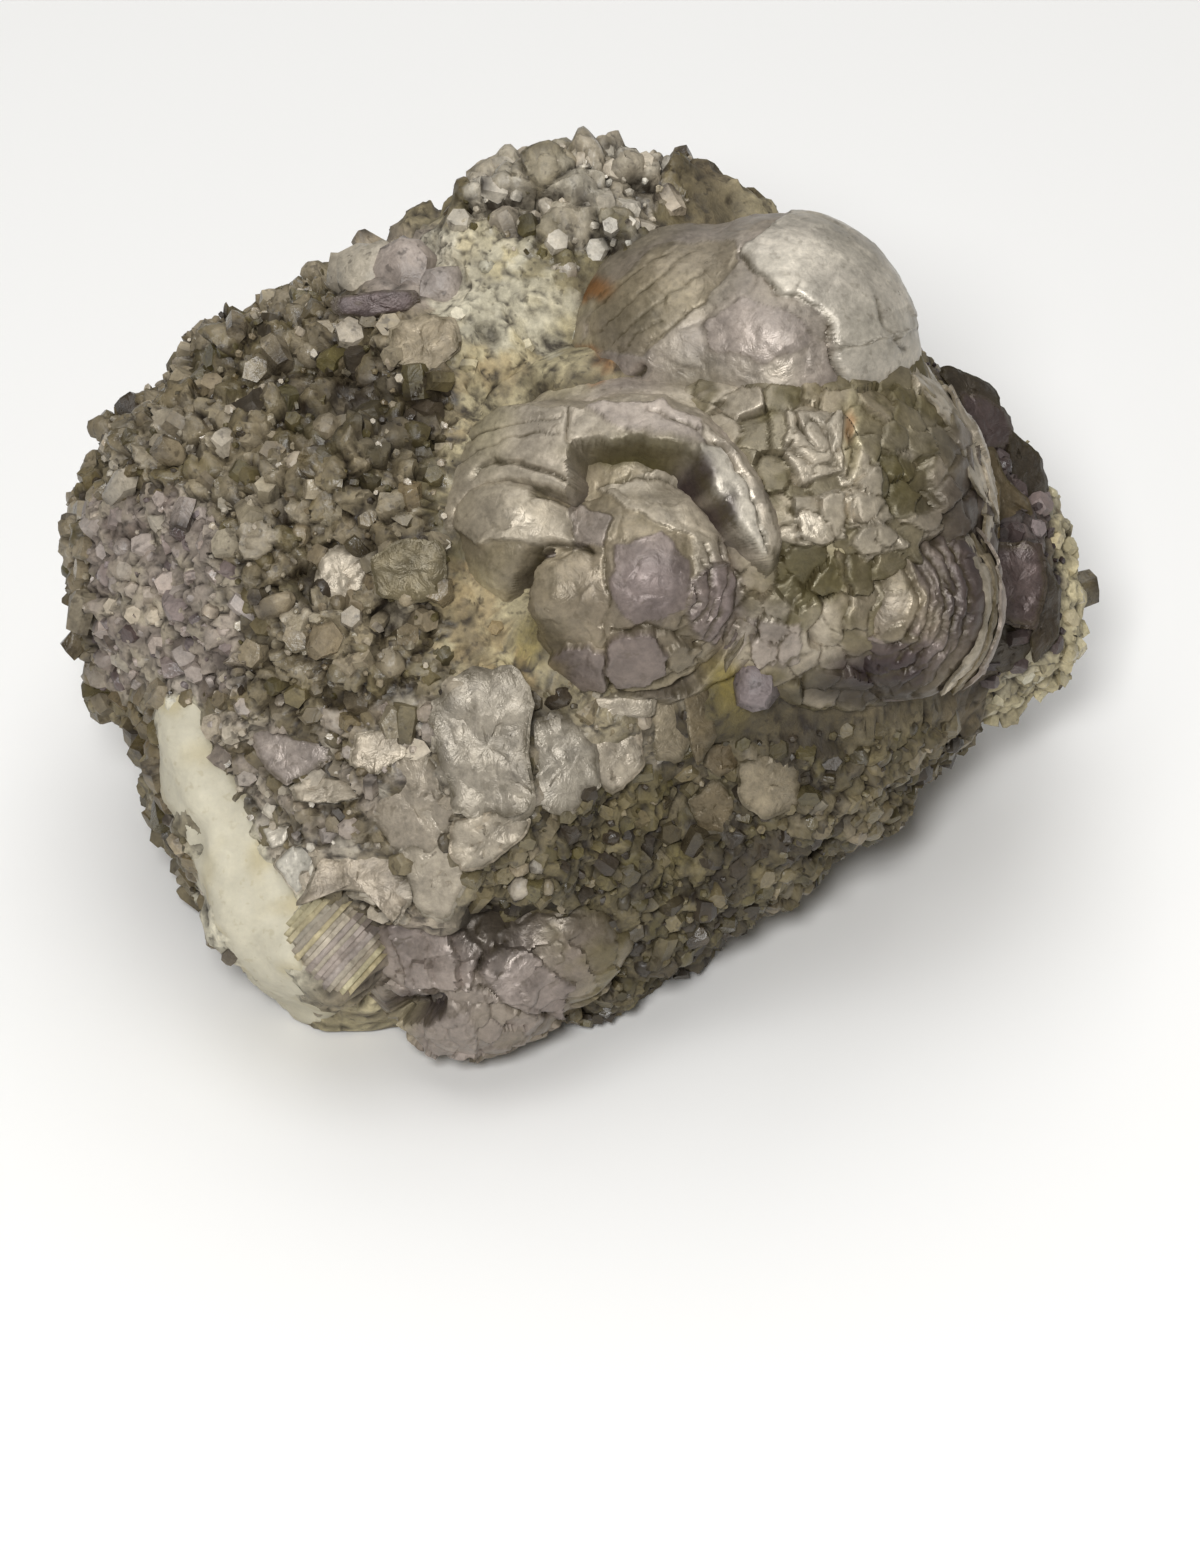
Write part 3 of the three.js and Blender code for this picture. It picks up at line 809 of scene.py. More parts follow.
# Domes: soft unions of balls, seen as caps of overlapping scales.
# Balls, and the heart where it isn't the first ball's middle, are in the seen frame.
# Scales are size, step and depth of the joints.
CAPS = {
    "crown": {
        "balls": [((22.8, 28.1, 24.0), 15.6), ((12.5, 29.0, 23.5), 13.4)],
        "heart": (18.5, 28.4, 23.5), "pole": (0.1, 0.4, 1.0), "reach": 112, "count": 200,
        "dirt": 0.15, "dull": 0.0, "scales": (4.6, 0.10, 0.05), "tones": ("steel", "lilac"),
    },
    "flank": {
        "balls": [((23.4, 8.4, 20.0), 24.3)],
        "pole": (0.45, 0.05, 1.0), "reach": 72, "count": 190,
        "dirt": 0.8, "dull": 0.4, "scales": (3.8, 0.7, 0.3), "tones": ("silver", "grey"),
    },
    "cheek": {
        "balls": [((36.3, -0.9, 29.0), 11.0)],
        "pole": (0.2, -0.1, 1.0), "reach": 105, "count": 130,
        "dirt": 0.4, "dull": 0.08, "scales": (3.6, 0.22, 0.12), "tones": ("grey", "violet"),
    },
    "rose": {
        "balls": [
            ((5.5, 1.5, 31.8), 14.2), ((8.2, 2.2, 35.6), 11.6), ((-1.4, 0.2, 41.0), 5.2),
            ((-5.0, 6.5, 34.8), 9.6), ((6.0, 12.5, 33.0), 9.6),
        ],
        "heart": (3.5, 3.0, 33.0), "pole": (0.0, 0.0, 1.0), "reach": 80, "count": 180,
        "dirt": 0.3, "dull": 0.03, "scales": (6.0, 0.14, 0.05), "tones": ("grey", "grey"),
    },
    "collar": {
        "balls": [((4.7, 4.9, 22.5), 22.6), ((10.0, 6.0, 24.5), 20.8)],
        "heart": (6.0, 5.2, 22.5), "pole": (0.0, 0.1, 1.0), "reach": 64, "count": 180, "level": 3.4,
        "dirt": 0.3, "dull": 0.0, "scales": (7.0, 0.10, 0.05), "tones": ("silver", "lilac"),
    },
    "toe": {
        "balls": [((-12.0, -40.0, 15.0), 12.6), ((-19.0, -36.5, 17.0), 9.5), ((-3.0, -38.0, 17.5), 9.0)],
        "pole": (0.0, -0.2, 1.0), "reach": 100, "count": 120,
        "dirt": 0.7, "dull": 0.15, "scales": (3.4, 0.6, 0.15), "tones": ("violet", "grey"),
    },
    "back_upper": {
        "balls": [((14.0, 16.0, -29.0), 18.9)],
        "pole": (0.2, 0.5, -1.0), "reach": 85, "count": 104,
        "dirt": 0.9, "dull": 0.12, "scales": (5.0, 0.4, 0.2), "tones": ("grey", "lilac"),
    },
    "back_left": {
        "balls": [((-30.0, 2.0, -22.0), 17.9)],
        "pole": (-0.7, 0.2, -1.0), "reach": 85, "count": 104,
        "dirt": 0.9, "dull": 0.12, "scales": (4.2, 0.45, 0.2), "tones": ("grey", "lilac"),
    },
}
BALL_BLEND = 1.6  # how sharply balls meet, for each millimetre
COLLAR_MIDDLE = CAPS["collar"]["balls"][0][0]
COLLAR_RADIUS = 26.0
PRESSING = [ball for name, cap in CAPS.items() if name != "collar" for ball in cap["balls"]]
PRESSING.append((COLLAR_MIDDLE, COLLAR_RADIUS))

# Sheets that lie on each dome: height, tone, outline in pixels
# The wall under the collar's lip, tinted dark wine as painted shade
WALL = [
    (686, 450), (698, 453), (714, 482), (732, 510), (750, 540), (742, 552), (724, 540), (704, 512),
    (690, 482),
]
SHEETS = {
    "crown": [
        (0.55, "pearl", [
            (765, 232), (742, 250), (757, 272), (785, 295), (815, 305), (832, 322), (838, 345),
            (900, 335), (960, 300), (880, 200), (810, 200),
        ]),
        (0.30, "pearl", [
            (838, 345), (842, 400), (852, 445), (880, 480), (960, 420), (960, 330), (900, 332),
        ]),
        (-0.2, "grey", [
            (580, 350), (590, 300), (660, 240), (735, 240), (742, 262), (705, 300), (640, 356),
        ]),
        (0.15, "lilac", [(705, 320), (745, 300), (800, 318), (815, 345), (760, 360), (710, 350)]),
    ],
    "flank": [
        (0.8, "silver", [(788, 414), (838, 410), (843, 470), (802, 482), (785, 450)]),
        (0.6, "silver", [(845, 470), (885, 465), (893, 520), (850, 530)]),
        (0.5, "silver", [(795, 500), (840, 492), (845, 540), (800, 545)]),
        (0.9, "silver", [(870, 520), (905, 545), (870, 560), (850, 545)]),
        (-0.8, "moss", [(880, 450), (930, 455), (945, 510), (900, 520), (878, 490)]),
        (-0.8, "moss", [(772, 540), (835, 545), (850, 590), (800, 612), (772, 590)]),
        (0.5, "lilac", [(745, 620), (800, 622), (800, 660), (760, 668)]),
        # the wall's painted shade
        (-1.2, "wine", WALL),
    ],
    "cheek": [
        (-0.3, "purple", [(815, 655), (860, 645), (930, 640), (925, 685), (860, 700)]),
        (0.2, "grey", [(860, 575), (910, 560), (925, 600), (900, 640), (855, 635), (840, 605)]),
    ],
    "collar": [
        (3.4, "silver", [
            (433, 475), (437, 447), (455, 432), (500, 412), (528, 405), (570, 407), (620, 402),
            (660, 400), (700, 418), (740, 455), (765, 495), (777, 530), (772, 562), (757, 548),
            (730, 508), (712, 480), (697, 453), (688, 450), (645, 438), (600, 436), (568, 438),
            (570, 480), (562, 493), (534, 481), (501, 477), (468, 488), (456, 512), (445, 530),
            (434, 505),
        ]),
        (0.5, "pearl", [
            (697, 446), (720, 450), (752, 490), (768, 532), (766, 556), (750, 540), (730, 508),
            (712, 480),
        ]),
        (0.3, "lilac", [(585, 404), (660, 400), (700, 420), (706, 446), (645, 438), (615, 425)]),
        # The collar's inside drops under its lip, tinted dark wine as painted shade on the wall
        (-5.0, "wine", [
            (566, 484), (570, 440), (600, 437), (645, 439), (688, 451), (697, 455), (712, 482),
            (730, 510), (757, 550), (790, 600), (700, 720), (560, 720), (430, 640), (447, 532),
            (458, 512), (469, 490), (501, 479), (534, 483), (562, 494),
        ]),
    ],
    "rose": [
        # the wall's painted shade
        (-0.3, "wine", WALL),
        (0.8, "silver", [
            (456, 526), (459, 508), (470, 491), (500, 480), (537, 488), (536, 500), (520, 516),
            (507, 537), (475, 545),
        ]),
        (0.6, "silver", [(509, 538), (521, 518), (540, 499), (577, 514), (572, 545), (540, 547)]),
        (0.5, "lilac", [(574, 505), (610, 520), (605, 545), (575, 550)]),
        (0.4, "silver", [
            (600, 490), (660, 470), (715, 500), (728, 560), (700, 575), (690, 535), (640, 515),
        ]),
        (0.12, "violet", [(615, 545), (660, 535), (690, 560), (685, 610), (640, 625), (612, 600)]),
        (0.9, "violet", [
            (552, 657), (565, 646), (590, 644), (603, 652), (607, 672), (602, 690), (583, 694),
            (566, 688), (556, 674),
        ]),
        (1.1, "violet", [
            (606, 642), (625, 633), (650, 634), (662, 648), (660, 668), (640, 680), (616, 684),
            (608, 668),
        ]),
        (0.8, "grey", [(664, 648), (680, 640), (696, 646), (695, 661), (678, 672), (666, 664)]),
        (0.5, "violet", [(690, 580), (725, 560), (740, 600), (715, 645), (690, 630)]),
        # The crescent gap left of the small dome, tinted dark wine: painted shade
        (-1.4, "wine", [
            (550, 547), (530, 552), (513, 573), (507, 600), (520, 626), (537, 632), (529, 610),
            (528, 590), (536, 570), (552, 557),
        ]),
    ],
    "toe": [
        (0.7, "violet", [(392, 925), (450, 915), (482, 950), (470, 990), (410, 985)]),
        (1.0, "violet", [(490, 945), (520, 950), (570, 985), (555, 1012), (500, 1000), (483, 972)]),
        (0.6, "lilac", [(425, 1012), (470, 1008), (478, 1055), (432, 1058)]),
        # A hole, tinted dark wine: painted shade
        (-3.0, "wine", [(385, 990), (412, 996), (440, 995), (450, 1010), (430, 1024), (392, 1026)]),
    ],
}

# Cracks and joints of each dome: width in pixels, depth, line in pixels
CRACKS = {
    "crown": [
        (2.4, 0.5, [(740, 250), (755, 270), (780, 293), (815, 305), (830, 320), (833, 350)]),
        (3.5, 1.0, [(835, 352), (841, 378), (846, 402)]),
        (4.0, 0.6, [(845, 410), (850, 425), (856, 444)]),
        (1.5, 0.22, [(598, 330), (640, 290), (690, 248)]),
        (1.5, 0.22, [(612, 342), (650, 308), (702, 270)]),
        (1.8, 0.25, [(588, 312), (630, 275), (668, 248)]),
        (1.4, 0.18, [(640, 348), (668, 326), (702, 300)]),
        (1.4, 0.18, [(620, 352), (640, 330), (660, 318)]),
        (4.0, 1.2, [(632, 380), (642, 370)]),
        (2.0, 0.3, [(870, 300), (885, 330), (905, 350)]),
    ],
    "flank": [
        (2.0, 0.6, [(795, 428), (815, 446)]),
        (2.0, 0.6, [(810, 420), (832, 442)]),
        (2.0, 0.6, [(790, 448), (808, 466)]),
        (3.0, 0.8, [(850, 430), (856, 450), (848, 480)]),
        (5.0, 1.4, [(928, 548), (944, 540)]),
    ],
    "cheek": [
        (2.0, 0.4, [(925, 565), (940, 600), (930, 640)]),
        (2.0, 0.4, [(945, 575), (962, 610), (950, 660)]),
        (1.8, 0.3, [(840, 650), (880, 660), (920, 650)]),
        (1.8, 0.3, [(835, 668), (880, 680), (930, 665)]),
    ],
    "rose": [
        (4.0, 1.4, [(455, 512), (468, 486), (501, 476), (534, 480), (562, 492)]),
        (3.0, 1.2, [(529, 552), (545, 544), (575, 545), (593, 556)]),
        (6.0, 1.5, [(530, 555), (518, 575), (516, 605), (528, 630)]),
        (2.2, 0.6, [(580, 500), (572, 530), (575, 545)]),
        (2.0, 0.25, [(604, 560), (610, 600), (600, 640)]),
        (3.5, 1.2, [(560, 692), (610, 690), (660, 684), (700, 665)]),
        (1.6, 0.35, [(604, 640), (608, 690)]),
        (2.0, 0.5, [(612, 632), (650, 628), (690, 638)]),
        (2.0, 0.5, [(690, 580), (700, 600), (680, 630)]),
        (2.2, 0.6, [(735, 540), (742, 590), (725, 640)]),
        (1.8, 0.4, [(700, 560), (715, 590), (705, 620)]),
        (2.2, 0.6, [(600, 488), (640, 476), (690, 490), (720, 530)]),
    ],
    "collar": [
        (4.0, 0.4, [
            (568, 440), (600, 438), (645, 440), (688, 452), (697, 456), (712, 483), (730, 511),
            (757, 552),
        ]),
        (3.0, 1.0, [(470, 474), (491, 456), (531, 465), (562, 477)]),
        (1.6, 0.35, [(440, 452), (500, 424), (560, 416)]),
        (1.3, 0.25, [(452, 462), (505, 438), (560, 432)]),
        (1.5, 0.3, [(566, 407), (567, 437)]),
        (4.0, 1.3, [(456, 513), (468, 490), (501, 479), (534, 483), (562, 494)]),
        (3.0, 0.9, [(722, 445), (745, 480), (760, 512), (767, 545)]),
        (2.2, 0.5, [(650, 408), (690, 424), (720, 446)]),
    ],
    "toe": [
        (3.0, 1.2, [(476, 975), (484, 958), (494, 945)]),
        (2.5, 0.8, [(480, 985), (510, 1005), (550, 1015)]),
    ],
}


def arc(middle, radius, start, end):
    """A line of pixels along part of a circle, between angles anticlockwise from the right."""
    angles = np.radians(np.linspace(start, end, 9))
    return [(middle[0] + radius * math.cos(a), middle[1] - radius * math.sin(a)) for a in angles]


CHEEK_EYE = (866, 603)
ROSE_EYE = (640, 575)
CRACKS["cheek"] += [(3.0, 0.55, arc(CHEEK_EYE, radius, -64, 58)) for radius in (52, 66, 80, 93, 105)]
CRACKS["rose"] += [(2.4, 0.5, arc(ROSE_EYE, radius, -58, 25)) for radius in (72, 86, 98)]
WANDER = 5.0  # pixels that drawn edges stray
ROUGH_EDGE = 1.4
SHEET_SLOPE = 2.4  # pixels over which a sheet falls away, and more for each millimetre over one
TALL_SLOPE = 12.0
DEEP_SLOPE = 1.6
SHEET_TINT = 0.75
FOOT_WIDTH = 2.6  # pixels of painted shade and dirt at a sheet's foot
FOOT_SHADE_AND_DIRT = 0.8
EDGE_SINK = 2.2  # how far a dome's own edge dips into the body
SINK_FROM = 0.86  # where that starts, as a share of the dome's reach
SINK_SWELL = (0.07, 3.0, 21.0)
CAP_SWELLS = ((0.30, 5.0, 2.0), (0.10, 1.4, 6.0))
TONE_SWELL = (0.9, 7.0, 11.0)
DIRT_SWELLS = ((2.6, 4.0, 15.0), (0.9, 1.3, 4.0))
DIRT_ROUGHNESS = (0.3, 0.9, 12.0)
DIRT_DULLNESS = 0.8
DULL_SHARE = 0.6  # of moss in the colour of a dull scale
SKIN_SPOTS = 4000
SCALE_SPACING = (0.6, 1.3)  # as a share of a scale's size
SCALE_STRAY = 0.22
SCALE_JOINT = 0.09
SCALE_SHADE = 0.07
SCALE_GLOSS = (0.35, 1.0)


def cap_mesh(count):
    """Even quads over a disc: reach up to 1, angle round it, faces and the edge; count is even."""
    line = np.linspace(-1, 1, count)
    a, b = np.meshgrid(line, line, indexing="ij")
    wide = np.abs(a) > np.abs(b)
    reach = np.where(wide, a, b).ravel()
    angle = np.where(wide, math.pi / 4 * b / a, math.pi / 2 - math.pi / 4 * a / b).ravel()
    return reach, angle, *grid(count, count)


def ball_reach(heart, ways, balls):
    """How far a soft union of balls reaches from a point inside it."""
    total = 0
    for place, radius in balls:
        offset = heart - seen_point(*place)
        along = ways @ offset
        gap = radius**2 - offset @ offset + along**2
        total = total + np.where(gap > 0, np.exp(BALL_BLEND * (np.sqrt(np.maximum(gap, 0)) - along)), 0)
    return np.log(np.maximum(total, 1e-9)) / BALL_BLEND


def cells(points, spots):
    """For each point, its nearest spot and how much further the next one is."""
    tree = KDTree(len(spots))
    for index, spot in enumerate(spots):
        tree.insert(spot, index)
    tree.balance()
    found = [tree.find_n(point, 2) for point in points]
    owner = np.array([pair[0][1] for pair in found])
    gap = np.array([pair[1][2] - pair[0][2] for pair in found])
    return owner, gap


def scaled_skin(points, faces, size, step, groove):
    """Overlapping scales: each point's lift, shade, nearness to a joint, gloss and scale's luck."""
    spots, _ = scattered(points, faces, SKIN_SPOTS)
    spots = spots[thinned(spots, size * random.uniform(*SCALE_SPACING, len(spots)))]
    count = len(spots)
    strayed = points + SCALE_STRAY * size * strays(points, 0.5 * size, (1.0, 5.0, 9.0))
    owner, gap = cells(strayed, spots)
    leans = random.standard_normal((count, 3)) * step / size
    lift = step * random.uniform(-0.5, 0.5, count)[owner]
    lift += np.sum(leans[owner] * (points - spots[owner]), axis=1)
    near = bell(gap / size, SCALE_JOINT)
    shade = 1 + SCALE_SHADE * random.standard_normal(count)[owner]
    gloss = random.uniform(*SCALE_GLOSS, count)[owner]
    luck = random.uniform(0, 1, count)[owner]
    return lift - groove * near, shade, near, gloss, luck


def stained(colour, pixels, facing):
    """A colour with the stains seen on the front mixed in."""
    for middle, half, tone, strength in STAINS:
        reach = np.sum(((pixels - middle) / half) ** 2, axis=1)
        colour = toward(colour, COLOURS[tone], (strength * facing * np.exp(-(reach**2)))[:, None])
    return colour


def cap_skin(cap, points, faces, reach):
    """A dome's own surface: each point's lift, colour, shade, gloss and nearness to a joint."""
    size, step, groove = cap["scales"]
    lift, shade, near, gloss, luck = scaled_skin(points, faces, size, step, groove)
    first, second = (COLOURS[tone] for tone in cap["tones"])
    colour = toward(first, second, np.clip(0.5 + swells(points, TONE_SWELL), 0, 1)[:, None])
    dirty = cap["dirt"] * np.clip(swells(points, *DIRT_SWELLS), 0, 1)
    colour = toward(colour, 0.5 * (COLOURS["olive"] + COLOURS["moss"]), dirty[:, None])
    is_dull = (luck < cap["dull"])[:, None]
    colour = np.where(is_dull, toward(colour, COLOURS["moss"], DULL_SHARE), colour)
    sunk = (np.abs(reach) - SINK_FROM + swells(points, SINK_SWELL)) / (1 - SINK_FROM)
    lift = lift + swells(points, *CAP_SWELLS) + dirty * swells(points, DIRT_ROUGHNESS)
    lift = lift - EDGE_SINK * np.clip(sunk, 0, 1) ** 1.5
    return lift, colour, shade, gloss * (1 - DIRT_DULLNESS * dirty), near * min(1, 0.25 + 3 * groove)


def lay_cap(name):
    """A dome: a cap of scales with the sheets and cracks that are drawn on it."""
    cap = CAPS[name]
    reach, angle, faces, edge = cap_mesh(cap["count"])
    pole = unit(cap["pole"][0] * RIGHT + cap["pole"][1] * UP + cap["pole"][2] * OUT)
    first, second = basis(pole, 0)
    polar = (np.radians(cap["reach"]) * reach)[:, None]
    flat = np.cos(angle)[:, None] * first + np.sin(angle)[:, None] * second
    ways = np.sin(polar) * flat + np.cos(polar) * pole
    heart = seen_point(*cap.get("heart", cap["balls"][0][0]))
    points = heart + ball_reach(heart, ways, cap["balls"])[:, None] * ways

    lift, colour, shade, gloss, rims = cap_skin(cap, points, faces, reach)
    facing = np.clip(ways @ OUT * 5 + 0.5, 0, 1)
    wander = WANDER * strays(points, 2.2, (3.0, 8.0)) + ROUGH_EDGE * strays(points, 0.6, (3.0, 8.0))
    pixels = pixels_of(points + cap.get("level", 0) * ways) + wander
    for height, tone, outline in SHEETS.get(name, []):
        away = line_distance(pixels, outline + outline[:1])
        within = inside(pixels, outline)
        slope = max(SHEET_SLOPE, TALL_SLOPE * (height - 1), DEEP_SLOPE * -height)
        share = facing * np.clip((height > 0) + np.where(within, away, -away) / slope, 0, 1)
        lift += height * share
        colour = toward(colour, COLOURS[tone], SHEET_TINT * share[:, None])
        # A sheet's foot is darkened: painted shade and dirt
        foot = np.where(within, height < 0, height > 0)
        rims = np.maximum(rims, FOOT_SHADE_AND_DIRT * facing * foot * bell(away, FOOT_WIDTH))
    for width, depth, line in CRACKS.get(name, []):
        share = facing * bell(line_distance(pixels, line), width)
        lift -= depth * share
        rims = np.maximum(rims, share)
    tints = glossed(stained(colour * shade[:, None], pixels, facing), gloss)

    points = np.concatenate([points + lift[:, None] * ways, [heart]])
    faces = [tuple(face) for face in faces]
    faces += [(a, len(points) - 1, b) for a, b in zip(edge, np.roll(edge, -1))]
    tints = np.concatenate([tints, tints[:1]])
    make_piece(name + "_dome", points, faces, tints, np.append(rims, 1), shell_mica, DOME_SHARP)


# Rims: strips of spherical shell, between angles seen anticlockwise from the right and between
# angles from the pole: middle, radius, start and end, from and to, tone
ROSE_LOW = (5.4, 2.0, 34.0)
CHEEK_MIDDLE = CAPS["cheek"]["balls"][0][0]
FLANK_MIDDLE = CAPS["flank"]["balls"][0][0]
RIMS = [
    (ROSE_LOW, 16.0, (-46, 4), (66, 96), "grey"),
    (ROSE_LOW, 15.2, (-50, 8), (66, 96), "violet"),
    (ROSE_LOW, 14.4, (-52, 14), (68, 96), "lilac"),
    (CHEEK_MIDDLE, 11.4, (-66, 56), (58, 100), "silver"),
    (CHEEK_MIDDLE, 11.8, (-60, 50), (67, 104), "grey"),
    (CHEEK_MIDDLE, 12.2, (-54, 46), (75, 108), "lilac"),
    (FLANK_MIDDLE, 24.7, (4, 52), (60, 84), "silver"),
    (FLANK_MIDDLE, 25.0, (0, 40), (70, 90), "silver"),
    (FLANK_MIDDLE, 24.6, (-26, 12), (66, 88), "grey"),
]
RIM_STEPS = 72
RIM_RINGS = 20
RIM_THICKNESS = 0.4
RIM_SCALES = (6.5, 0.25, 0.12)
RIM_LAYER = 7.5  # degrees of a strip that one layer takes up
LAYER_STEP = 0.22
RIM_SINK = 1.4  # how far the outer edge of a strip dips
LAYER_JOINT = 0.1
LAYER_SWELL = (0.8, 6.0, 9.0)
RIM_SWELL = (0.4, 4.0, 3.0)
JAG_SPREAD = 18  # degrees of jag on a strip of a millimetre's radius
LEAST_RIM = 6  # degrees
SHADE_SPREAD = 0.05


def add_rim(heap, place, radius, around, polar, tone):
    """A strip of shell with broken edges, round an axis towards the eye."""
    low, high = polar
    middle = seen_point(*place)
    shares = np.linspace(0, 1, RIM_STEPS)
    levels = np.linspace(0, 1, RIM_RINGS)
    ends = np.abs(2 * shares - 1)
    turn = np.radians(around[0] + (around[1] - around[0]) * shares)
    circle = np.stack([np.cos(turn), np.sin(turn), 0 * turn], 1) * radius
    jag = swells(circle, (2.5, 3.5, radius), (1.2, 1.0, radius))
    taper = 0.5 * (high - low) * ends**6
    first = np.minimum(low + jag * JAG_SPREAD / radius + taper, high - LEAST_RIM)[:, None]
    lean = np.radians(first + (high - first) * levels)[..., None]
    turn = turn[:, None, None]
    flat = np.cos(turn) * RIGHT + np.sin(turn) * UP
    ways = (np.sin(lean) * flat + np.cos(lean) * OUT).reshape(-1, 3)

    quads, edge = grid(RIM_STEPS, RIM_RINGS)
    quads = quads[:, [0, 3, 2, 1]]
    skin = radius * ways
    lift, shade, near, gloss, _ = scaled_skin(middle + skin, quads, *RIM_SCALES)
    down = np.tile(levels, RIM_STEPS)
    layer = ((high - low) / RIM_LAYER * down + swells(skin, LAYER_SWELL)) % 1
    lift += swells(skin, RIM_SWELL, (0.10, 1.2, radius))
    lift -= LAYER_STEP * layer + RIM_SINK * down**3
    near = np.maximum(near, bell(np.minimum(layer, 1 - layer), LAYER_JOINT))
    outer = middle + (radius + lift)[:, None] * ways
    points = np.concatenate([outer, outer - RIM_THICKNESS * ways])
    # A strip darkens along its edge nearest the pole and at its ends; its underside is fully darkened as
    # painted shade
    fade = np.clip(np.maximum(0.8 * (1 - 6 * levels), ends[:, None] ** 10), 0, 1).ravel()
    rims = np.concatenate([np.maximum(fade, 0.7 * near), np.ones(len(fade))])
    tints = np.column_stack([tint_of(COLOURS[tone], SHADE_SPREAD)[:3] * shade[:, None], gloss])
    faces = slab_faces(quads, edge[::-1], len(outer))
    heap.add(points, faces, np.concatenate([tints, tints]), rims)


# Plates: sheets drawn by their outlines: tone, lean to the right and up, lift, crumple, outline
PLATES = [
    ("dark", (20, 20), 0.8, 0.3, [
        (939, 370), (950, 366), (992, 385), (1000, 405), (975, 410), (955, 395),
    ]),
    ("purple", (30, 0), 1.0, 0.3, [
        (960, 392), (985, 398), (1010, 415), (1012, 445), (985, 450), (970, 430),
    ]),
    ("dark", (30, 0), 0.9, 0.3, [(1008, 430), (1040, 455), (1050, 500), (1030, 505), (1010, 470)]),
    ("brown", (20, 0), 1.2, 0.4, [
        (982, 455), (995, 450), (1006, 480), (1030, 500), (1030, 522), (1008, 520), (988, 530),
        (980, 500),
    ]),
    ("honey", (10, 0), 1.6, 0.3, [(992, 485), (1000, 482), (1000, 540), (990, 548), (988, 520)]),
    ("purple", (10, -10), 1.2, 0.4, [
        (987, 548), (1005, 545), (1040, 545), (1045, 590), (1035, 628), (1005, 620), (988, 600),
    ]),
    ("dark", (30, -10), 0.9, 0.3, [
        (1045, 560), (1060, 590), (1058, 640), (1035, 660), (1030, 640), (1044, 600),
    ]),
    ("dark", (20, -20), 0.9, 0.3, [(985, 620), (1015, 628), (1035, 650), (1005, 672), (985, 660)]),
    ("steel", (-4, -2), 0.5, 0.8, [
        (435, 709), (448, 686), (477, 672), (510, 673), (529, 696), (527, 758), (532, 813), (493, 818),
        (457, 813), (441, 767),
    ]),
    ("silver", (6, -14), 1.1, 0.6, [
        (451, 823), (493, 813), (529, 819), (519, 842), (480, 868), (461, 871), (454, 852),
    ]),
    ("steel", (-14, -8), 0.5, 0.4, [
        (370, 823), (373, 784), (402, 754), (435, 758), (441, 790), (457, 816), (431, 855), (399, 855),
    ]),
    ("silver", (-6, -18), 0.3, 0.4, [
        (399, 850), (455, 840), (465, 880), (450, 920), (420, 915), (405, 885),
    ]),
    ("steel", (12, -4), 0.5, 0.4, [
        (535, 719), (571, 719), (597, 748), (596, 790), (571, 813), (539, 806),
    ]),
    ("silver", (0, -4), 0.7, 0.3, [(588, 736), (641, 732), (641, 769), (613, 793), (597, 781)]),
    ("silver", (0, -10), 0.4, 0.2, [
        (578, 700), (620, 696), (655, 700), (650, 716), (600, 720), (580, 712),
    ]),
    ("grey", (10, -10), 0.4, 0.2, [(655, 690), (700, 672), (705, 690), (660, 706)]),
    ("brown", (20, -10), 0.6, 0.3, [(706, 746), (735, 742), (740, 766), (720, 776), (704, 765)]),
    ("grey", (24, -16), 0.5, 0.4, [
        (738, 764), (770, 756), (800, 770), (800, 805), (765, 820), (742, 800),
    ]),
    ("brown", (10, -16), 0.5, 0.4, [(690, 800), (715, 780), (735, 800), (725, 835), (700, 835)]),
    ("olive", (-4, -20), 0.5, 0.4, [(520, 905), (560, 900), (575, 935), (545, 955), (515, 940)]),
    ("grey", (16, -6), 0.4, 0.2, [(653, 700), (680, 690), (690, 740), (678, 762), (655, 758)]),
    ("brown", (24, -6), 0.7, 0.2, [(684, 694), (708, 688), (716, 735), (698, 764), (690, 740)]),
    ("steel", (-6, 14), 0.9, 0.4, [
        (298, 907), (318, 868), (314, 852), (344, 839), (376, 849), (402, 868), (405, 914), (392, 927),
        (376, 894), (344, 888),
    ]),
    ("pearl", (-16, 4), 1.0, 0.2, [(274, 865), (292, 845), (314, 849), (314, 868), (298, 894)]),
    ("pearl", (-10, 10), 0.8, 0.2, [(262, 829), (292, 823), (285, 842), (272, 849)]),
    ("silver", (-8, 24), 0.8, 0.3, [
        (292, 787), (311, 777), (350, 780), (360, 797), (331, 803), (298, 800),
    ]),
    ("lilac", (-10, 10), 0.6, 0.3, [
        (246, 725), (285, 735), (331, 748), (324, 764), (285, 784), (266, 767),
    ]),
    ("silver", (-6, 4), 0.5, 0.3, [(355, 735), (395, 728), (405, 752), (375, 775), (350, 765)]),
    ("purple", (0, -10), 1.6, 0.2, [
        (333, 298), (378, 291), (417, 291), (414, 308), (372, 317), (336, 314),
    ]),
    ("grey", (-4, 6), 0.6, 0.4, [(390, 330), (420, 315), (455, 320), (458, 350), (430, 372), (395, 362)]),
    ("silver", (-4, 2), 0.7, 0.4, [
        (316, 580), (322, 556), (340, 545), (362, 553), (368, 576), (352, 600), (328, 598),
    ]),
    ("olive", (-2, -4), 0.9, 0.25, [
        (372, 560), (400, 540), (440, 545), (446, 585), (420, 602), (380, 595),
    ]),
]
PLATE_SIDES = 48
PLATE_RINGS = 7
PLATE_THICKNESS = 0.45
PLATE_SINK = 0.4
PLATE_LAYERS = ((1.09, 0.45), (1.0, 0.0))  # size and drop
PLATE_REST = 70  # per cent of the ground under a plate that lies lower than it does
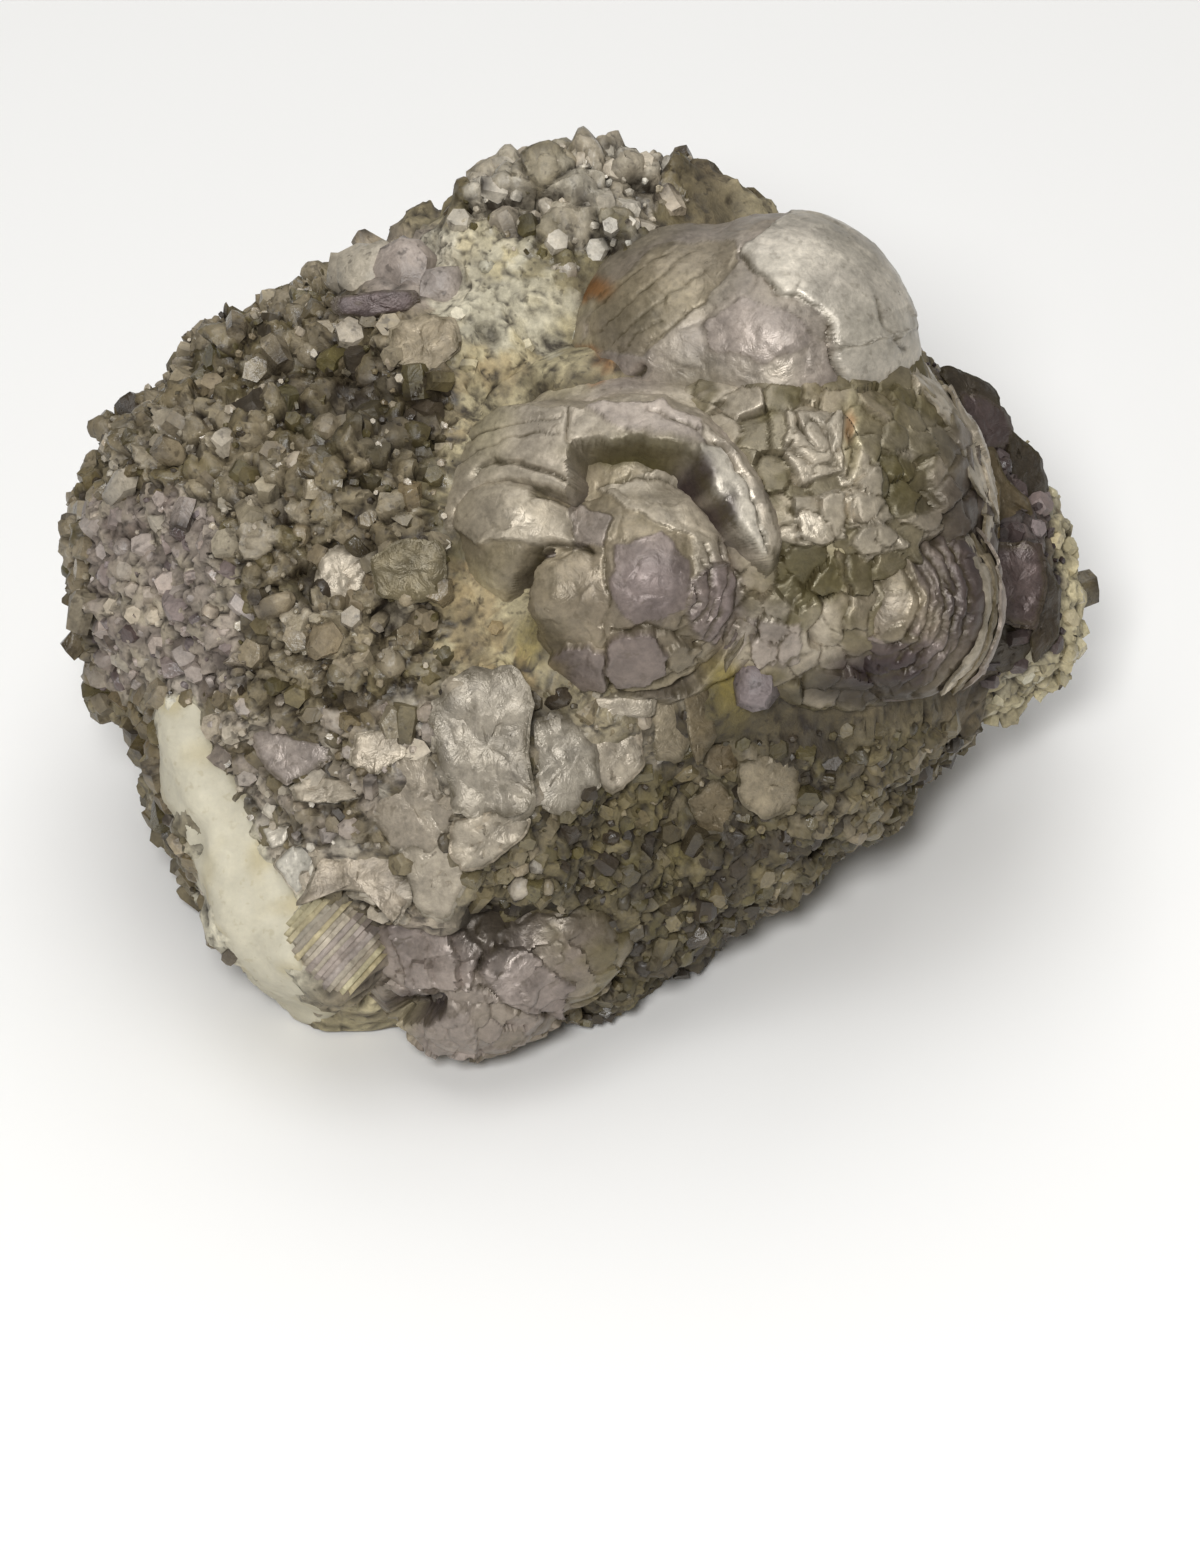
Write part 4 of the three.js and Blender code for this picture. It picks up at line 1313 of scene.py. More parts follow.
PLATE_FACING = 0.7  # how much a plate faces the eye, and not away from the body
PLATE_ROOT = 1.5
PLATE_CURL = 0.15
PLATE_CROWN = 0.005
FACETS = (5, 2.5)  # creased facets on a sheet, and how many more for each millimetre of its reach
FACET_LEAN = 0.35
FACET_LIMIT = 0.4
PLATE_SHADE = (0.16, 2.4, 3.0)
PLATE_GLOSS = (0.5, 2.0, 8.0)


def wound(outline):
    """The outline run anticlockwise as seen."""
    corners = np.array(outline, float)
    nexts = np.roll(corners, -1, axis=0)
    area = np.sum(corners[:, 0] * nexts[:, 1] - nexts[:, 0] * corners[:, 1])
    return outline if area < 0 else outline[::-1]


def rounded(ring):
    """A closed outline with its corners worn round and a slow wobble of its own."""
    for _ in range(2):
        ring = 0.5 * ring + 0.25 * (np.roll(ring, 1, axis=0) + np.roll(ring, -1, axis=0))
    across, down = ring.mean(axis=0)
    turn = np.radians(np.linspace(0, 360, len(ring), endpoint=False))
    circle = np.stack([np.cos(turn), np.sin(turn), 0 * turn], 1)
    wobble = swells(circle, (0.10, 0.4, 0.37 * across), (0.06, 0.13, 0.41 * down))
    return (across, down) + (1 + wobble)[:, None] * (ring - (across, down))


def add_plate(heap, surface, tone, lean, lift, crumple, outline):
    """Two crumpled sheets, one on the other, seen with the outline given, in a plane over the body."""
    outline = wound(outline)
    ring = rounded(spaced(outline + outline[:1], PLATE_SIDES, endpoint=False)[0])
    centre = ring.mean(axis=0)
    place, normal = surface.near(centre)
    facing = tilted((1 - PLATE_FACING) * normal + PLATE_FACING * OUT, lean)
    ground = np.array([surface.near(0.5 * (centre + pixel))[0] for pixel in ring[::4]])
    heights = (ground - place) @ facing / (OUT @ facing)
    place = place + (lift - PLATE_SINK + np.percentile(heights, PLATE_REST)) * OUT
    for size, drop in PLATE_LAYERS:
        add_sheet(heap, place - drop * OUT, facing, centre, centre + size * (ring - centre), crumple, tone)


def add_sheet(heap, place, facing, centre, ring, crumple, tone):
    """A crumpled sheet: rings of points from its middle to its edge, and a point low under it."""
    shares = np.arange(1, PLATE_RINGS + 1) / PLATE_RINGS
    pixels = np.concatenate([[centre], (centre + shares[:, None, None] * (ring - centre)).reshape(-1, 2)])
    lines = np.array([sight_line(pixel) for pixel in pixels])
    points = EYE + lines * (((place - EYE) @ facing) / (lines @ facing))[:, None]
    reach = np.linalg.norm(points - points[0], axis=1)
    curl = np.concatenate([[0], np.repeat(PLATE_CURL * shares**8, PLATE_SIDES)])
    folds = crumple * swells(points, (1.0, 4.2, place[0]), (0.5, 1.7, 4.0))
    count = int(FACETS[0] + FACETS[1] * reach.max())
    spots = points[random.choice(len(points), count, replace=False)]
    owner, _ = cells(points, spots)
    leans = FACET_LEAN * crumple * random.standard_normal((count, 3))
    creases = np.sum(leans[owner] * (points - spots[owner]), axis=1)
    folds += np.clip(creases, -FACET_LIMIT, FACET_LIMIT)
    points = points + (folds - PLATE_CROWN * reach**2 - curl)[:, None] * OUT
    under = points[-PLATE_SIDES:] - PLATE_THICKNESS * OUT
    low = np.mean(under, axis=0) - PLATE_ROOT * OUT
    rings = [1 + k * PLATE_SIDES + np.arange(PLATE_SIDES) for k in range(PLATE_RINGS + 1)]
    faces = fan(0, rings[0])
    for inner, outer in zip(rings, rings[1:]):
        faces += band(outer, inner)
    faces += fan(len(points) + PLATE_SIDES, rings[-1][::-1])
    points = np.concatenate([points, under, [low]])
    # A sheet darkens towards its edge; its underside is fully darkened as painted shade
    rims = np.concatenate([[0], np.repeat(0.9 * shares**5, PLATE_SIDES), np.ones(PLATE_SIDES + 1)])
    shade = 1 + swells(points, PLATE_SHADE)[:, None]
    gloss = np.clip(0.55 + swells(points, PLATE_GLOSS), 0, 1)
    tints = np.column_stack([tint_of(COLOURS[tone], SHADE_SPREAD)[:3] * shade, gloss])
    heap.add(points, faces, tints, rims)


# White seam: its two edges, in pixels, from the top down
SEAM_LEFT = [
    (152, 690), (157, 741), (160, 797), (188, 842), (196, 907), (207, 953), (227, 992), (255, 1014),
    (300, 1035),
]
SEAM_RIGHT = [
    (197, 690), (210, 735), (222, 767), (246, 803), (272, 855), (296, 894), (300, 940), (310, 985),
    (335, 1020),
]
SEAM_STEPS = 90
SEAM_SIDES = 26
SEAM_BULGE = 2.2
SEAM_SUNK = 0.8
SEAM_ROOT = 2.5
SEAM_WANDER = 9  # pixels that its edges stray
SEAM_ROUNDS = 12  # of smoothing
SEAM_HOLLOW = 3.0
HOLLOW_LEVEL = 0.35
SEAM_GLOSS = 0.4
SEAM_SWELLS = ((0.5, 3.5, 0.0), (0.18, 1.1, 2.0))
SEAM_SHADE = (0.10, 2.0, 3.0)
SEAM_YELLOW = (1.6, 4.5, 12.0)


def seam_edge(line, steps):
    """An edge of the seam, at shares of its points."""
    shares = np.linspace(0, 1, len(line))
    return np.stack([np.interp(steps, shares, np.array(line)[:, k]) for k in (0, 1)], 1)


def lay_seam(surface):
    """A band of smooth feldspar that stands proud of the body."""
    steps = np.linspace(0, 1, SEAM_STEPS)
    across = np.linspace(0, 1, SEAM_SIDES)
    left, right = seam_edge(SEAM_LEFT, steps), seam_edge(SEAM_RIGHT, steps)
    ragged = np.column_stack([0.05 * left, 0 * steps])
    left[:, 0] += SEAM_WANDER * noise_at(ragged, 1.0, 3.0)
    right[:, 0] += SEAM_WANDER * noise_at(ragged, 1.0, 8.0)
    pixels = left[:, None] + across[None, :, None] * (right - left)[:, None]
    hits = [surface.near(pixel) for pixel in pixels.reshape(-1, 2)]
    base, ways = (np.array(part).reshape(SEAM_STEPS, SEAM_SIDES, 3) for part in zip(*hits))
    for _ in range(SEAM_ROUNDS):
        for values in (base, ways):
            softened(values)
            softened(values.swapaxes(0, 1))
    ways = unit(ways)
    arch = np.sqrt(np.clip(1 - (2 * across - 1) ** 2, 0, 1))[None, :]
    ends = np.clip(np.minimum(steps, 1 - steps) * 8, 0, 1)[:, None] ** 0.5
    flat = base.reshape(-1, 3)
    rough = swells(flat, *SEAM_SWELLS)
    rough -= SEAM_HOLLOW * np.clip(noise_at(flat, 5.0, 17.0) - HOLLOW_LEVEL, 0, 1)
    lift = SEAM_BULGE * (arch * ends) - SEAM_SUNK + rough.reshape(SEAM_STEPS, SEAM_SIDES)
    top = (base + lift[..., None] * ways).reshape(-1, 3)
    bottom = (base - SEAM_ROOT * ways).reshape(-1, 3)
    points = np.concatenate([top, bottom])
    faces = slab_faces(*grid(SEAM_STEPS, SEAM_SIDES), len(top))
    shade = 1 + swells(points, SEAM_SHADE)[:, None]
    yellowed = np.clip(swells(points, SEAM_YELLOW) - 0.1, 0, 0.8)[:, None]
    tints = glossed(toward(COLOURS["white"], COLOURS["cream"], yellowed) * shade, SEAM_GLOSS)
    # The seam darkens towards its sides; its underside is fully darkened as painted shade
    rims = np.concatenate([np.tile(np.abs(2 * across - 1) ** 8, SEAM_STEPS), np.ones(len(top))])
    make_piece("feldspar_seam", points, faces, tints, rims, feldspar, BODY_SHARP)


# Book: sheets stacked on edge; its middle, pitch, length and half spread are in pixels
BOOK_MIDDLE = (335, 945)
BOOK_TURN = math.radians(48)
BOOK_SHEETS = 17
BOOK_PITCH = 5.6
BOOK_LENGTH = 95
BOOK_SPREAD = 62
BOOK_STAGGER = (0.9, 1.05)
BOOK_TONES = [
    "cream", "cream", "silver", "cream", "silver", "lilac", "silver", "lilac", "lilac", "silver",
    "cream", "cream",
]
STRIP_STEPS = 40
STRIP_ROUNDS = 20  # of smoothing
STRIP_DEPTH = 4.0
STRIP_TAPER = 14  # pixels
STRIP_SINK = 1.5  # how far its ends go down
STRIP_ROUND = 0.6
STRIP_WIDTH = (0.66, 0.78)
STRIP_HEIGHT = (0.8, 1.1)
# Section of a strip: across as a share of its half width, height where over 0, and darkness, a little at
# its shoulders and full down its sides as painted shade
STRIP_PROFILE = [
    (-1.0, -STRIP_DEPTH, 1.0),
    (-1.0, 0.9, 0.25),
    (-0.8, 1.0, 0.0),
    (0.8, 1.0, 0.0),
    (1.0, 0.9, 0.25),
    (1.0, -STRIP_DEPTH, 1.0),
]


def add_strip(heap, surface, line, width, height, tone):
    """A ridge with a rounded top that follows a line of pixels over the body."""
    pixels, along = spaced(line, STRIP_STEPS, endpoint=True)
    path = np.array([surface.near(pixel)[0] for pixel in pixels])
    for _ in range(STRIP_ROUNDS):
        softened(path)
    side = unit(np.cross(unit(np.gradient(path, axis=0)), OUT))
    ends = np.clip(np.minimum(along, along[-1] - along) / STRIP_TAPER, 0, 1)
    rise = height + swells(path, (0.35, 4.0, 2.0), (0.12, 0.8, height))
    rise = rise * ends - STRIP_SINK * (1 - ends)
    rows = []
    for across, up, _ in STRIP_PROFILE:
        lift = rise - STRIP_ROUND * (1 - up) if up > 0 else np.full(STRIP_STEPS, up)
        rows.append(path + 0.5 * width * across * side + lift[:, None] * OUT)
    count = len(STRIP_PROFILE)
    points = np.stack(rows, 1).reshape(-1, 3)
    rings = [k * count + np.arange(count) for k in range(STRIP_STEPS)]
    faces = [tuple(rings[0]), tuple(rings[-1][::-1])]
    for before, after in zip(rings, rings[1:]):
        faces += band(after, before)
    # The strip's sides are darkened: painted shade between the sheets
    rims = np.tile([dirt for _, _, dirt in STRIP_PROFILE], STRIP_STEPS)
    heap.add(points, faces, tint_of(COLOURS[tone], SHADE_SPREAD, 0.0), rims)


def lay_book(heap, surface):
    """Sheets stacked on edge, each a strip along the cleavage."""
    along = np.array([math.cos(BOOK_TURN), -math.sin(BOOK_TURN)])
    across = np.array([math.sin(BOOK_TURN), math.cos(BOOK_TURN)])
    for k in range(BOOK_SHEETS):
        offset = (k - 0.5 * BOOK_SHEETS) * BOOK_PITCH
        start = np.array(BOOK_MIDDLE) + offset * across
        bulge = math.sqrt(1.05 - (offset / BOOK_SPREAD) ** 2)
        half = 0.5 * BOOK_LENGTH * random.uniform(*BOOK_STAGGER) * bulge
        line = [start - half * along, start, start + half * along]
        tone = BOOK_TONES[k * len(BOOK_TONES) // BOOK_SHEETS]
        width, height = random.uniform(*STRIP_WIDTH), random.uniform(*STRIP_HEIGHT)
        add_strip(heap, surface, line, width, height, tone)


# Crystals drawn one by one: pixel, radius in pixels, height over the body, tone, gloss, flat top
CRYSTALS = [
    ((372, 268), 40, 1.6, "silver", 0.5, False),
    ((405, 268), 36, 1.6, "lilac", 0.5, False),
    ((440, 285), 28, 1.4, "lilac", 0.5, False),
    ((345, 275), 24, 1.2, "silver", 0.5, False),
    ((755, 685), 29, 3.6, "violet", 0.3, False),
    ((518, 868), 11, 0.8, "grey", 0.4, False),
    ((536, 866), 9, 0.8, "steel", 0.4, False),
    ((520, 888), 13, 1.0, "steel", 0.4, False),
    ((548, 888), 9, 0.6, "grey", 0.4, False),
    ((327, 426), 15, 1.0, "grey", 0.4, False),
    ((352, 334), 18, 1.0, "silver", 0.5, True),
    ((257, 368), 16, 1.0, "grey", 0.8, True),
    ((325, 640), 22, 1.0, "grey", 0.8, True),
    ((395, 725), 17, 0.9, "grey", 0.8, True),
]


# Fields of the front: outline in pixels, size of the crust's cells, how far they stand, gloss,
# spacing and radius of the grains on it, and tones from dark to light
FIELDS = {
    "valley": {
        "outline": [
            (420, 235), (470, 225), (520, 270), (575, 285), (590, 330), (560, 360), (500, 350),
            (455, 340), (430, 290),
        ],
        "cell": 1.6, "relief": 0.22, "gloss": 0.1, "spacing": 9.0, "radius": (0.5, 0.9),
        "tones": ["cream", "white", "white"],
    },
    "valley_low": {
        "outline": [(450, 560), (500, 570), (510, 640), (555, 690), (530, 680), (450, 670), (445, 620)],
        "cell": 1.5, "relief": 0.35, "gloss": 0.1, "spacing": 9.0, "radius": (0.5, 0.9),
        "tones": ["olive", "honey", "honey", "cream", "cream"],
    },
    "hollow": {
        "outline": [(500, 350), (560, 360), (505, 430), (455, 460), (455, 340)],
        "cell": 1.6, "relief": 0.4, "gloss": 0.1, "spacing": 9.0, "radius": (0.5, 0.9),
        "tones": ["honey", "cream", "cream"],
    },
    "lilac_fine": {
        "outline": [(85, 500), (205, 495), (240, 600), (230, 690), (100, 690)],
        "cell": 1.9, "relief": 0.35, "gloss": 0.3, "spacing": 3.4, "radius": (0.8, 1.5),
        "tones": ["purple", "violet", "lilac", "lilac", "silver", "silver"],
    },
    "left_edge": {
        "outline": [(40, 690), (152, 690), (160, 797), (190, 842), (205, 953), (150, 920), (60, 760)],
        "cell": 3.2, "relief": 0.35, "gloss": 0.5, "spacing": 3.6, "radius": (1.6, 2.8),
        "tones": ["dark", "moss", "brown", "olive", "grey"],
    },
    "left_face": {
        "outline": [
            (30, 700), (30, 380), (290, 240), (370, 300), (455, 330), (455, 400), (450, 520), (445, 660),
            (400, 705),
        ],
        "cell": 3.2, "relief": 0.55, "gloss": 1.0, "spacing": 4.6, "radius": (0.8, 1.7),
        "tones": ["dark", "moss", "brown", "grey", "grey", "silver"],
    },
    "lower_left": {
        "outline": [(197, 690), (440, 690), (430, 760), (340, 850), (300, 890), (272, 855), (222, 767)],
        "cell": 2.2, "relief": 0.42, "gloss": 0.8, "spacing": 3.8, "radius": (0.9, 1.8),
        "tones": ["dark", "brown", "olive", "lilac", "silver", "pearl"],
    },
    "knob": {
        "outline": [
            (455, 235), (470, 165), (520, 140), (690, 130), (690, 200), (660, 240), (610, 275),
            (565, 275),
        ],
        "cell": 5.4, "relief": 0.42, "bulge": 0.6, "gloss": 1.0, "spacing": 5.0, "radius": (0.8, 1.5),
        "tones": ["moss", "silver", "silver", "pearl", "pearl"],
    },
    "rose_pocket": {
        "outline": [(566, 442), (620, 434), (692, 452), (690, 475), (640, 470), (572, 482)],
        "cell": 1.5, "relief": 0.35, "gloss": 0.2, "spacing": 3.0, "radius": (0.7, 1.2),
        "tones": ["dark", "moss", "olive", "cream"],
    },
    "recess": {
        "outline": [
            (455, 875), (530, 820), (700, 745), (840, 725), (1000, 730), (1000, 900), (700, 1200),
            (560, 1080), (570, 985),
        ],
        "cell": 2.0, "relief": 0.45, "gloss": 0.35, "spacing": 3.6, "radius": (0.6, 1.4),
        "tones": ["dark", "dark", "moss", "olive", "olive", "grey"],
    },
    "slab_edge": {
        "outline": [
            (1008, 380), (1030, 395), (1062, 465), (1100, 560), (1100, 700), (985, 725), (985, 690),
            (1030, 655), (1060, 650), (1062, 560), (1040, 485), (1012, 420),
        ],
        "cell": 2.0, "relief": 0.35, "gloss": 0.2, "spacing": 4.5, "radius": (0.6, 1.2),
        "tones": ["cream", "cream", "white"],
    },
    "plates": {
        "outline": [
            (370, 700), (440, 660), (560, 680), (700, 690), (700, 745), (530, 820), (455, 875),
            (400, 930), (300, 890), (340, 850),
        ],
        "cell": 3.4, "relief": 0.35, "gloss": 0.8, "spacing": 5.5, "radius": (0.8, 1.4),
        "tones": ["dark", "olive", "grey", "steel", "silver", "silver"],
    },
    "slab": {
        "outline": [
            (925, 360), (1010, 380), (1090, 470), (1090, 690), (990, 720), (985, 640), (995, 530),
        ],
        "cell": 2.6, "relief": 0.35, "gloss": 0.5, "spacing": 4.0, "radius": (0.7, 1.4),
        "tones": ["wine", "wine", "purple", "purple", "violet"],
    },
}
BACK_FIELD = {
    "cell": 3.6, "relief": 0.3, "gloss": 0.5, "spacing": 3.2, "radius": (1.2, 2.8),
    "tones": ["dark", "brown", "olive", "grey", "silver", "lilac"],
}
PLAIN_FIELD = {"cell": 2.2, "relief": 0.2, "gloss": 0.2, "tones": None}
CELL_SPOTS = 60000
COVERED_DEPTH = 0.6  # how far the body lies lower under plates
CELL_BULGE = 0.15
CELL_JOINT = 0.14
CELL_STRAY = 0.35
CELL_LEAN = 0.7
FINE_CELLS = 0.42  # size of the small cells on each cell
FINE_TINT = 0.4  # their share of the colour
FINE_LIFT = 0.8
CRUST_TINT = 0.7
RANK_SWELL = 0.6  # how far ranks of tone drift, and how far they differ by luck
RANK_LUCK = 0.2
SWIRL = (5.0, 14.0)  # size and shift of the noise that colours drift by
CRUST_RANK = 0.48
CELL_SPACING = (0.75, 1.2)  # as a share of a cell's size
JOINT_DARKNESS = 0.9
FINE_DARKNESS = 0.55
DEEP_DARKNESS = 1.2  # painted shade, for each millimetre that a cell lies deep
MOST_DEEP = 0.7
CANDIDATES = 60000
BARE_SWELL = (13.0, 6.0)  # size and shift of a noise, and the level over which the back is bare
BARE_LEVEL = 0.28
LOWEST_GRAIN = 1.2
MOST_PIT = 0.4
PATCH_RANK = 1.6
GRAIN_SHADE = 0.10
GRAIN_SPACING = (0.6, 1.2)
SPACING_SWELL = (0.5, 7.0, 20.0)
GRAIN_SPREAD = (0.7, 1.25)  # of its radius
GRAIN_RANK = 0.5
GRAIN_LEAN = 0.5
GRAIN_STAND = (0.1, 0.6)
GRAIN_SQUASH = (0.75, 1.1)
GRAIN_LENGTH = (0.9, 1.4)
GRAIN_DENTS = np.array([0.12, 0.12, 0.04])
CRUMB_SPACING = 1.7
CRUMB_RADIUS = (0.25, 0.7)
CRUMB_RANK = 0.45
CRUMB_LUCK = 0.25
CRUMB_LEAN = 0.6
CRUMB_STAND = 0.6
FLAKES = 70
FLAKE_RADIUS = (0.3, 0.7)
FLAKE_STAND = 0.8
SMOOTH_FIELDS = ["back", "valley", "valley_low", "hollow", "slab_edge"]  # these have no crumbs
SHINY_FIELDS = ["left_face", "lower_left", "knob"]


# Patches of the crust that are darker or lighter than the rest: pixel, reach in pixels, change of rank
PATCHES = [
    ((405, 385), 65, -0.45),
    ((412, 575), 40, -0.3),
    ((330, 610), 75, 0.22),
    ((150, 430), 60, 0.12),
    ((545, 250), 40, -0.5),
    ((590, 190), 50, 0.25),
    ((640, 900), 120, -0.15),
]


def patch_rank(pixels):
    """How much lighter or darker the crust is at some pixels."""
    change = np.zeros(len(pixels))
    for middle, reach, amount in PATCHES:
        change += amount * bell(np.linalg.norm(pixels - middle, axis=1), reach)
    return change


def field_row(name):
    return PLAIN_FIELD if name == "none" else FIELDS.get(name, BACK_FIELD)


def cell_layer(points, spots, rows, scale):
    """One size of cells: each point's lift, nearness to a joint, and the spot it belongs to."""
    sizes = scale * np.array([row["cell"] for row in rows])
    kept = thinned(spots, sizes * random.uniform(*CELL_SPACING, len(sizes)))
    spots, sizes = spots[kept], sizes[kept]
    relief = np.array([rows[i]["relief"] for i in kept])
    bulge = np.array([rows[i].get("bulge", CELL_BULGE) for i in kept])
    owner, gap = cells(points + scale * CELL_STRAY * strays(points, 0.9, (1.0, 5.0, 9.0)), spots)
    offsets = points - spots[owner]
    leans = CELL_LEAN * relief[:, None] * random.standard_normal((len(spots), 3))
    lift = (relief * sizes * random.uniform(-0.5, 0.5, len(sizes)))[owner]
    away = np.linalg.norm(offsets, axis=1) / sizes[owner]
    lift += (bulge * relief * sizes)[owner] * (0.5 - away**2)
    lift += np.clip(np.sum(leans[owner] * offsets, axis=1), -1.0, 1.0)
    near = bell(gap / sizes[owner], CELL_JOINT)
    return lift - 0.5 * (relief * sizes)[owner] * near, near, kept[owner]


def crusted(surface, points, tints, rims):
    """Crystals grown into each other: each point's lift, tint and darkness."""
    spots, _ = scattered(surface.points, surface.faces, CELL_SPOTS)
    names = field_of(surface, spots)
    rows = [field_row(name) for name in names]
    swirl = noise_at(spots, *SWIRL)
    luck = random.standard_normal(len(spots))
    shift = np.where(names == "back", 0, patch_rank(pixels_of(spots)))
    ranks = np.clip(CRUST_RANK + RANK_SWELL * swirl + RANK_LUCK * luck + shift, 0, 1)
    plain = np.array([row["tones"] is None for row in rows])
    colours = np.zeros((len(spots), 3))
    for i in np.flatnonzero(~plain):
        colours[i] = tone_between(rows[i]["tones"], ranks[i])
    glosses = np.array([row["gloss"] for row in rows]) * random.uniform(0, 1, len(rows))

    lift, near, owner = cell_layer(points, spots, rows, 1.0)
    fine_lift, fine_near, fine_owner = cell_layer(points, spots, rows, FINE_CELLS)
    covered = is_covered(pixels_of(points)) & (names != "back")[owner]
    own = toward(colours[owner], colours[fine_owner], FINE_TINT)
    share = CRUST_TINT * ~(plain[owner] | plain[fine_owner])[:, None]
    gloss = np.maximum(glosses[owner], glosses[fine_owner])
    # Cells that lie low are darkened: painted shade
    deep = np.clip(-DEEP_DARKNESS * (lift + fine_lift), 0, MOST_DEEP)
    rims = np.maximum.reduce([rims, JOINT_DARKNESS * near, FINE_DARKNESS * fine_near])
    rims = np.clip(rims + deep, 0, 1)
    lift = np.where(covered, -COVERED_DEPTH, lift + FINE_LIFT * fine_lift)
    return lift, glossed(toward(tints[:, :3], own, share), gloss), rims


# Grains: crystals like short barrels with round or flat ends

def barrel(sides, rings):
    """A closed barrel along z: points, faces and how low each point lies, from 0 at its top."""
    around = np.arange(sides) / sides * 2 * math.pi
    points = [np.stack([r * np.cos(around), r * np.sin(around), np.full(sides, z)], 1) for z, r in rings]
    points = np.concatenate(points + [[[0, 0, rings[-1][0] + 0.04]]])
    rows = [k * sides + np.arange(sides) for k in range(len(rings))]
    faces = [tuple(rows[0][::-1])]
    for lower, upper in zip(rows, rows[1:]):
        faces += band(lower, upper)
    faces += fan(len(points) - 1, rows[-1])
    return points, faces, np.clip((1 - points[:, 2]) / 2, 0, 1)


FLAT_GRAIN = barrel(6, [(-1.0, 0.85), (0.5, 1.0), (0.95, 0.86)])
ROUND_GRAIN = barrel(9, [(-1.0, 0.8), (-0.1, 1.0), (0.45, 0.93), (0.78, 0.72), (0.95, 0.4)])
PLAIN_GRAIN = barrel(7, [(-1.0, 0.8), (0.2, 1.0), (0.75, 0.75)])
CRUMB = barrel(5, [(-1.0, 0.8), (0.3, 1.0), (0.8, 0.6)])
FLAT_SHARE = 0.8


def add_grain(heap, shape, place, axis, radius, stand, tint):
    """A grain set in the surface, standing out of it by a height, squashed and dented a little."""
    local, faces, low = shape
    first, second = basis(axis, random.uniform(0, 360))
    squash = random.uniform(*GRAIN_SQUASH)
    half = radius * random.uniform(*GRAIN_LENGTH)
    local = local * (1 + GRAIN_DENTS * random.standard_normal(local.shape))
    across = local[:, :1] * first + squash * local[:, 1:2] * second
    top = place + stand * axis
    # The grain darkens by how low each point lies: painted shade towards its foot
    heap.add(top + radius * across + half * (local[:, 2:] - 1) * axis, faces, tint, low)


def tone_between(tones, rank):
    """The colour at a rank from 0 to 1 in a row of tones."""
    spot = rank * (len(tones) - 1)
    index = min(int(spot), len(tones) - 2)
    first, second = COLOURS[tones[index]], COLOURS[tones[index + 1]]
    return first + (second - first) * (spot - index)


def field_of(surface, places):
    """Which field each place is in: a name, back where the eye doesn't reach, or none."""
    pixels = pixels_of(places)
    front = surface.is_front(places)
    result = np.where(front, "none", "back").astype(object)
    for name in reversed(list(FIELDS)):
        result[front & inside(pixels, FIELDS[name]["outline"])] = name
    return result


def is_covered(pixels):
    """Which pixels show a plate or a crystal that is drawn by itself."""
    result = np.zeros(len(pixels), bool)
    for _, _, _, _, outline in PLATES:
        result |= inside(pixels, outline)
    for pixel, radius, *_ in CRYSTALS:
        result |= np.linalg.norm(pixels - pixel, axis=1) < radius
    return result


class Bed:
    """Places where grains can sit, with their normals, fields, spacings and swirls of colour."""

    def __init__(self, surface):
        places, normals = scattered(surface.points, surface.faces, CANDIDATES)
        fields = field_of(surface, places)
        is_back = fields == "back"
        bare = is_back & (noise_at(places, *BARE_SWELL) > BARE_LEVEL)
        bare |= ~is_back & is_covered(pixels_of(places))
        wanted = (fields != "none") & ~bare & (places[:, 2] > LOWEST_GRAIN)
        wanted &= pit_share(surface, places) < MOST_PIT
        self.places, self.normals, self.fields = places[wanted], normals[wanted], fields[wanted]
        self.rows = [field_row(field) for field in self.fields]
        self.spacings = np.array([row["spacing"] for row in self.rows])
        self.spacings *= random.uniform(*GRAIN_SPACING, len(self.rows))
        self.spacings *= 1 + swells(self.places, SPACING_SWELL)
        patches = PATCH_RANK * patch_rank(pixels_of(self.places))
        self.swirl = noise_at(self.places, *SWIRL) + np.where(self.fields == "back", 0, patches)

    def tint(self, i, level, luck):
        rank = np.clip(level + RANK_SWELL * self.swirl[i] + luck * random.standard_normal(), 0, 1)
        return tint_of(tone_between(self.rows[i]["tones"], rank), GRAIN_SHADE)

    def axis(self, i, lean):
        return unit(self.normals[i] + lean * random.standard_normal(3))


def lay_fields(bed, front, back):
    """Grains of each field's size, larger and smaller by turns."""
    for i in thinned(bed.places, bed.spacings):
        radius = 0.5 * bed.spacings[i] * random.uniform(*GRAIN_SPREAD)
        radius = np.clip(radius, *bed.rows[i]["radius"])
        tint = bed.tint(i, GRAIN_RANK, RANK_LUCK)
        axis = bed.axis(i, GRAIN_LEAN)
        stand = radius * random.uniform(*GRAIN_STAND)
        if bed.fields[i] == "back":
            add_grain(back, PLAIN_GRAIN, bed.places[i], axis, radius, stand, tint)
        else:
            shape = FLAT_GRAIN if random.uniform() < FLAT_SHARE else ROUND_GRAIN
            add_grain(front, shape, bed.places[i], axis, radius, stand, tint)


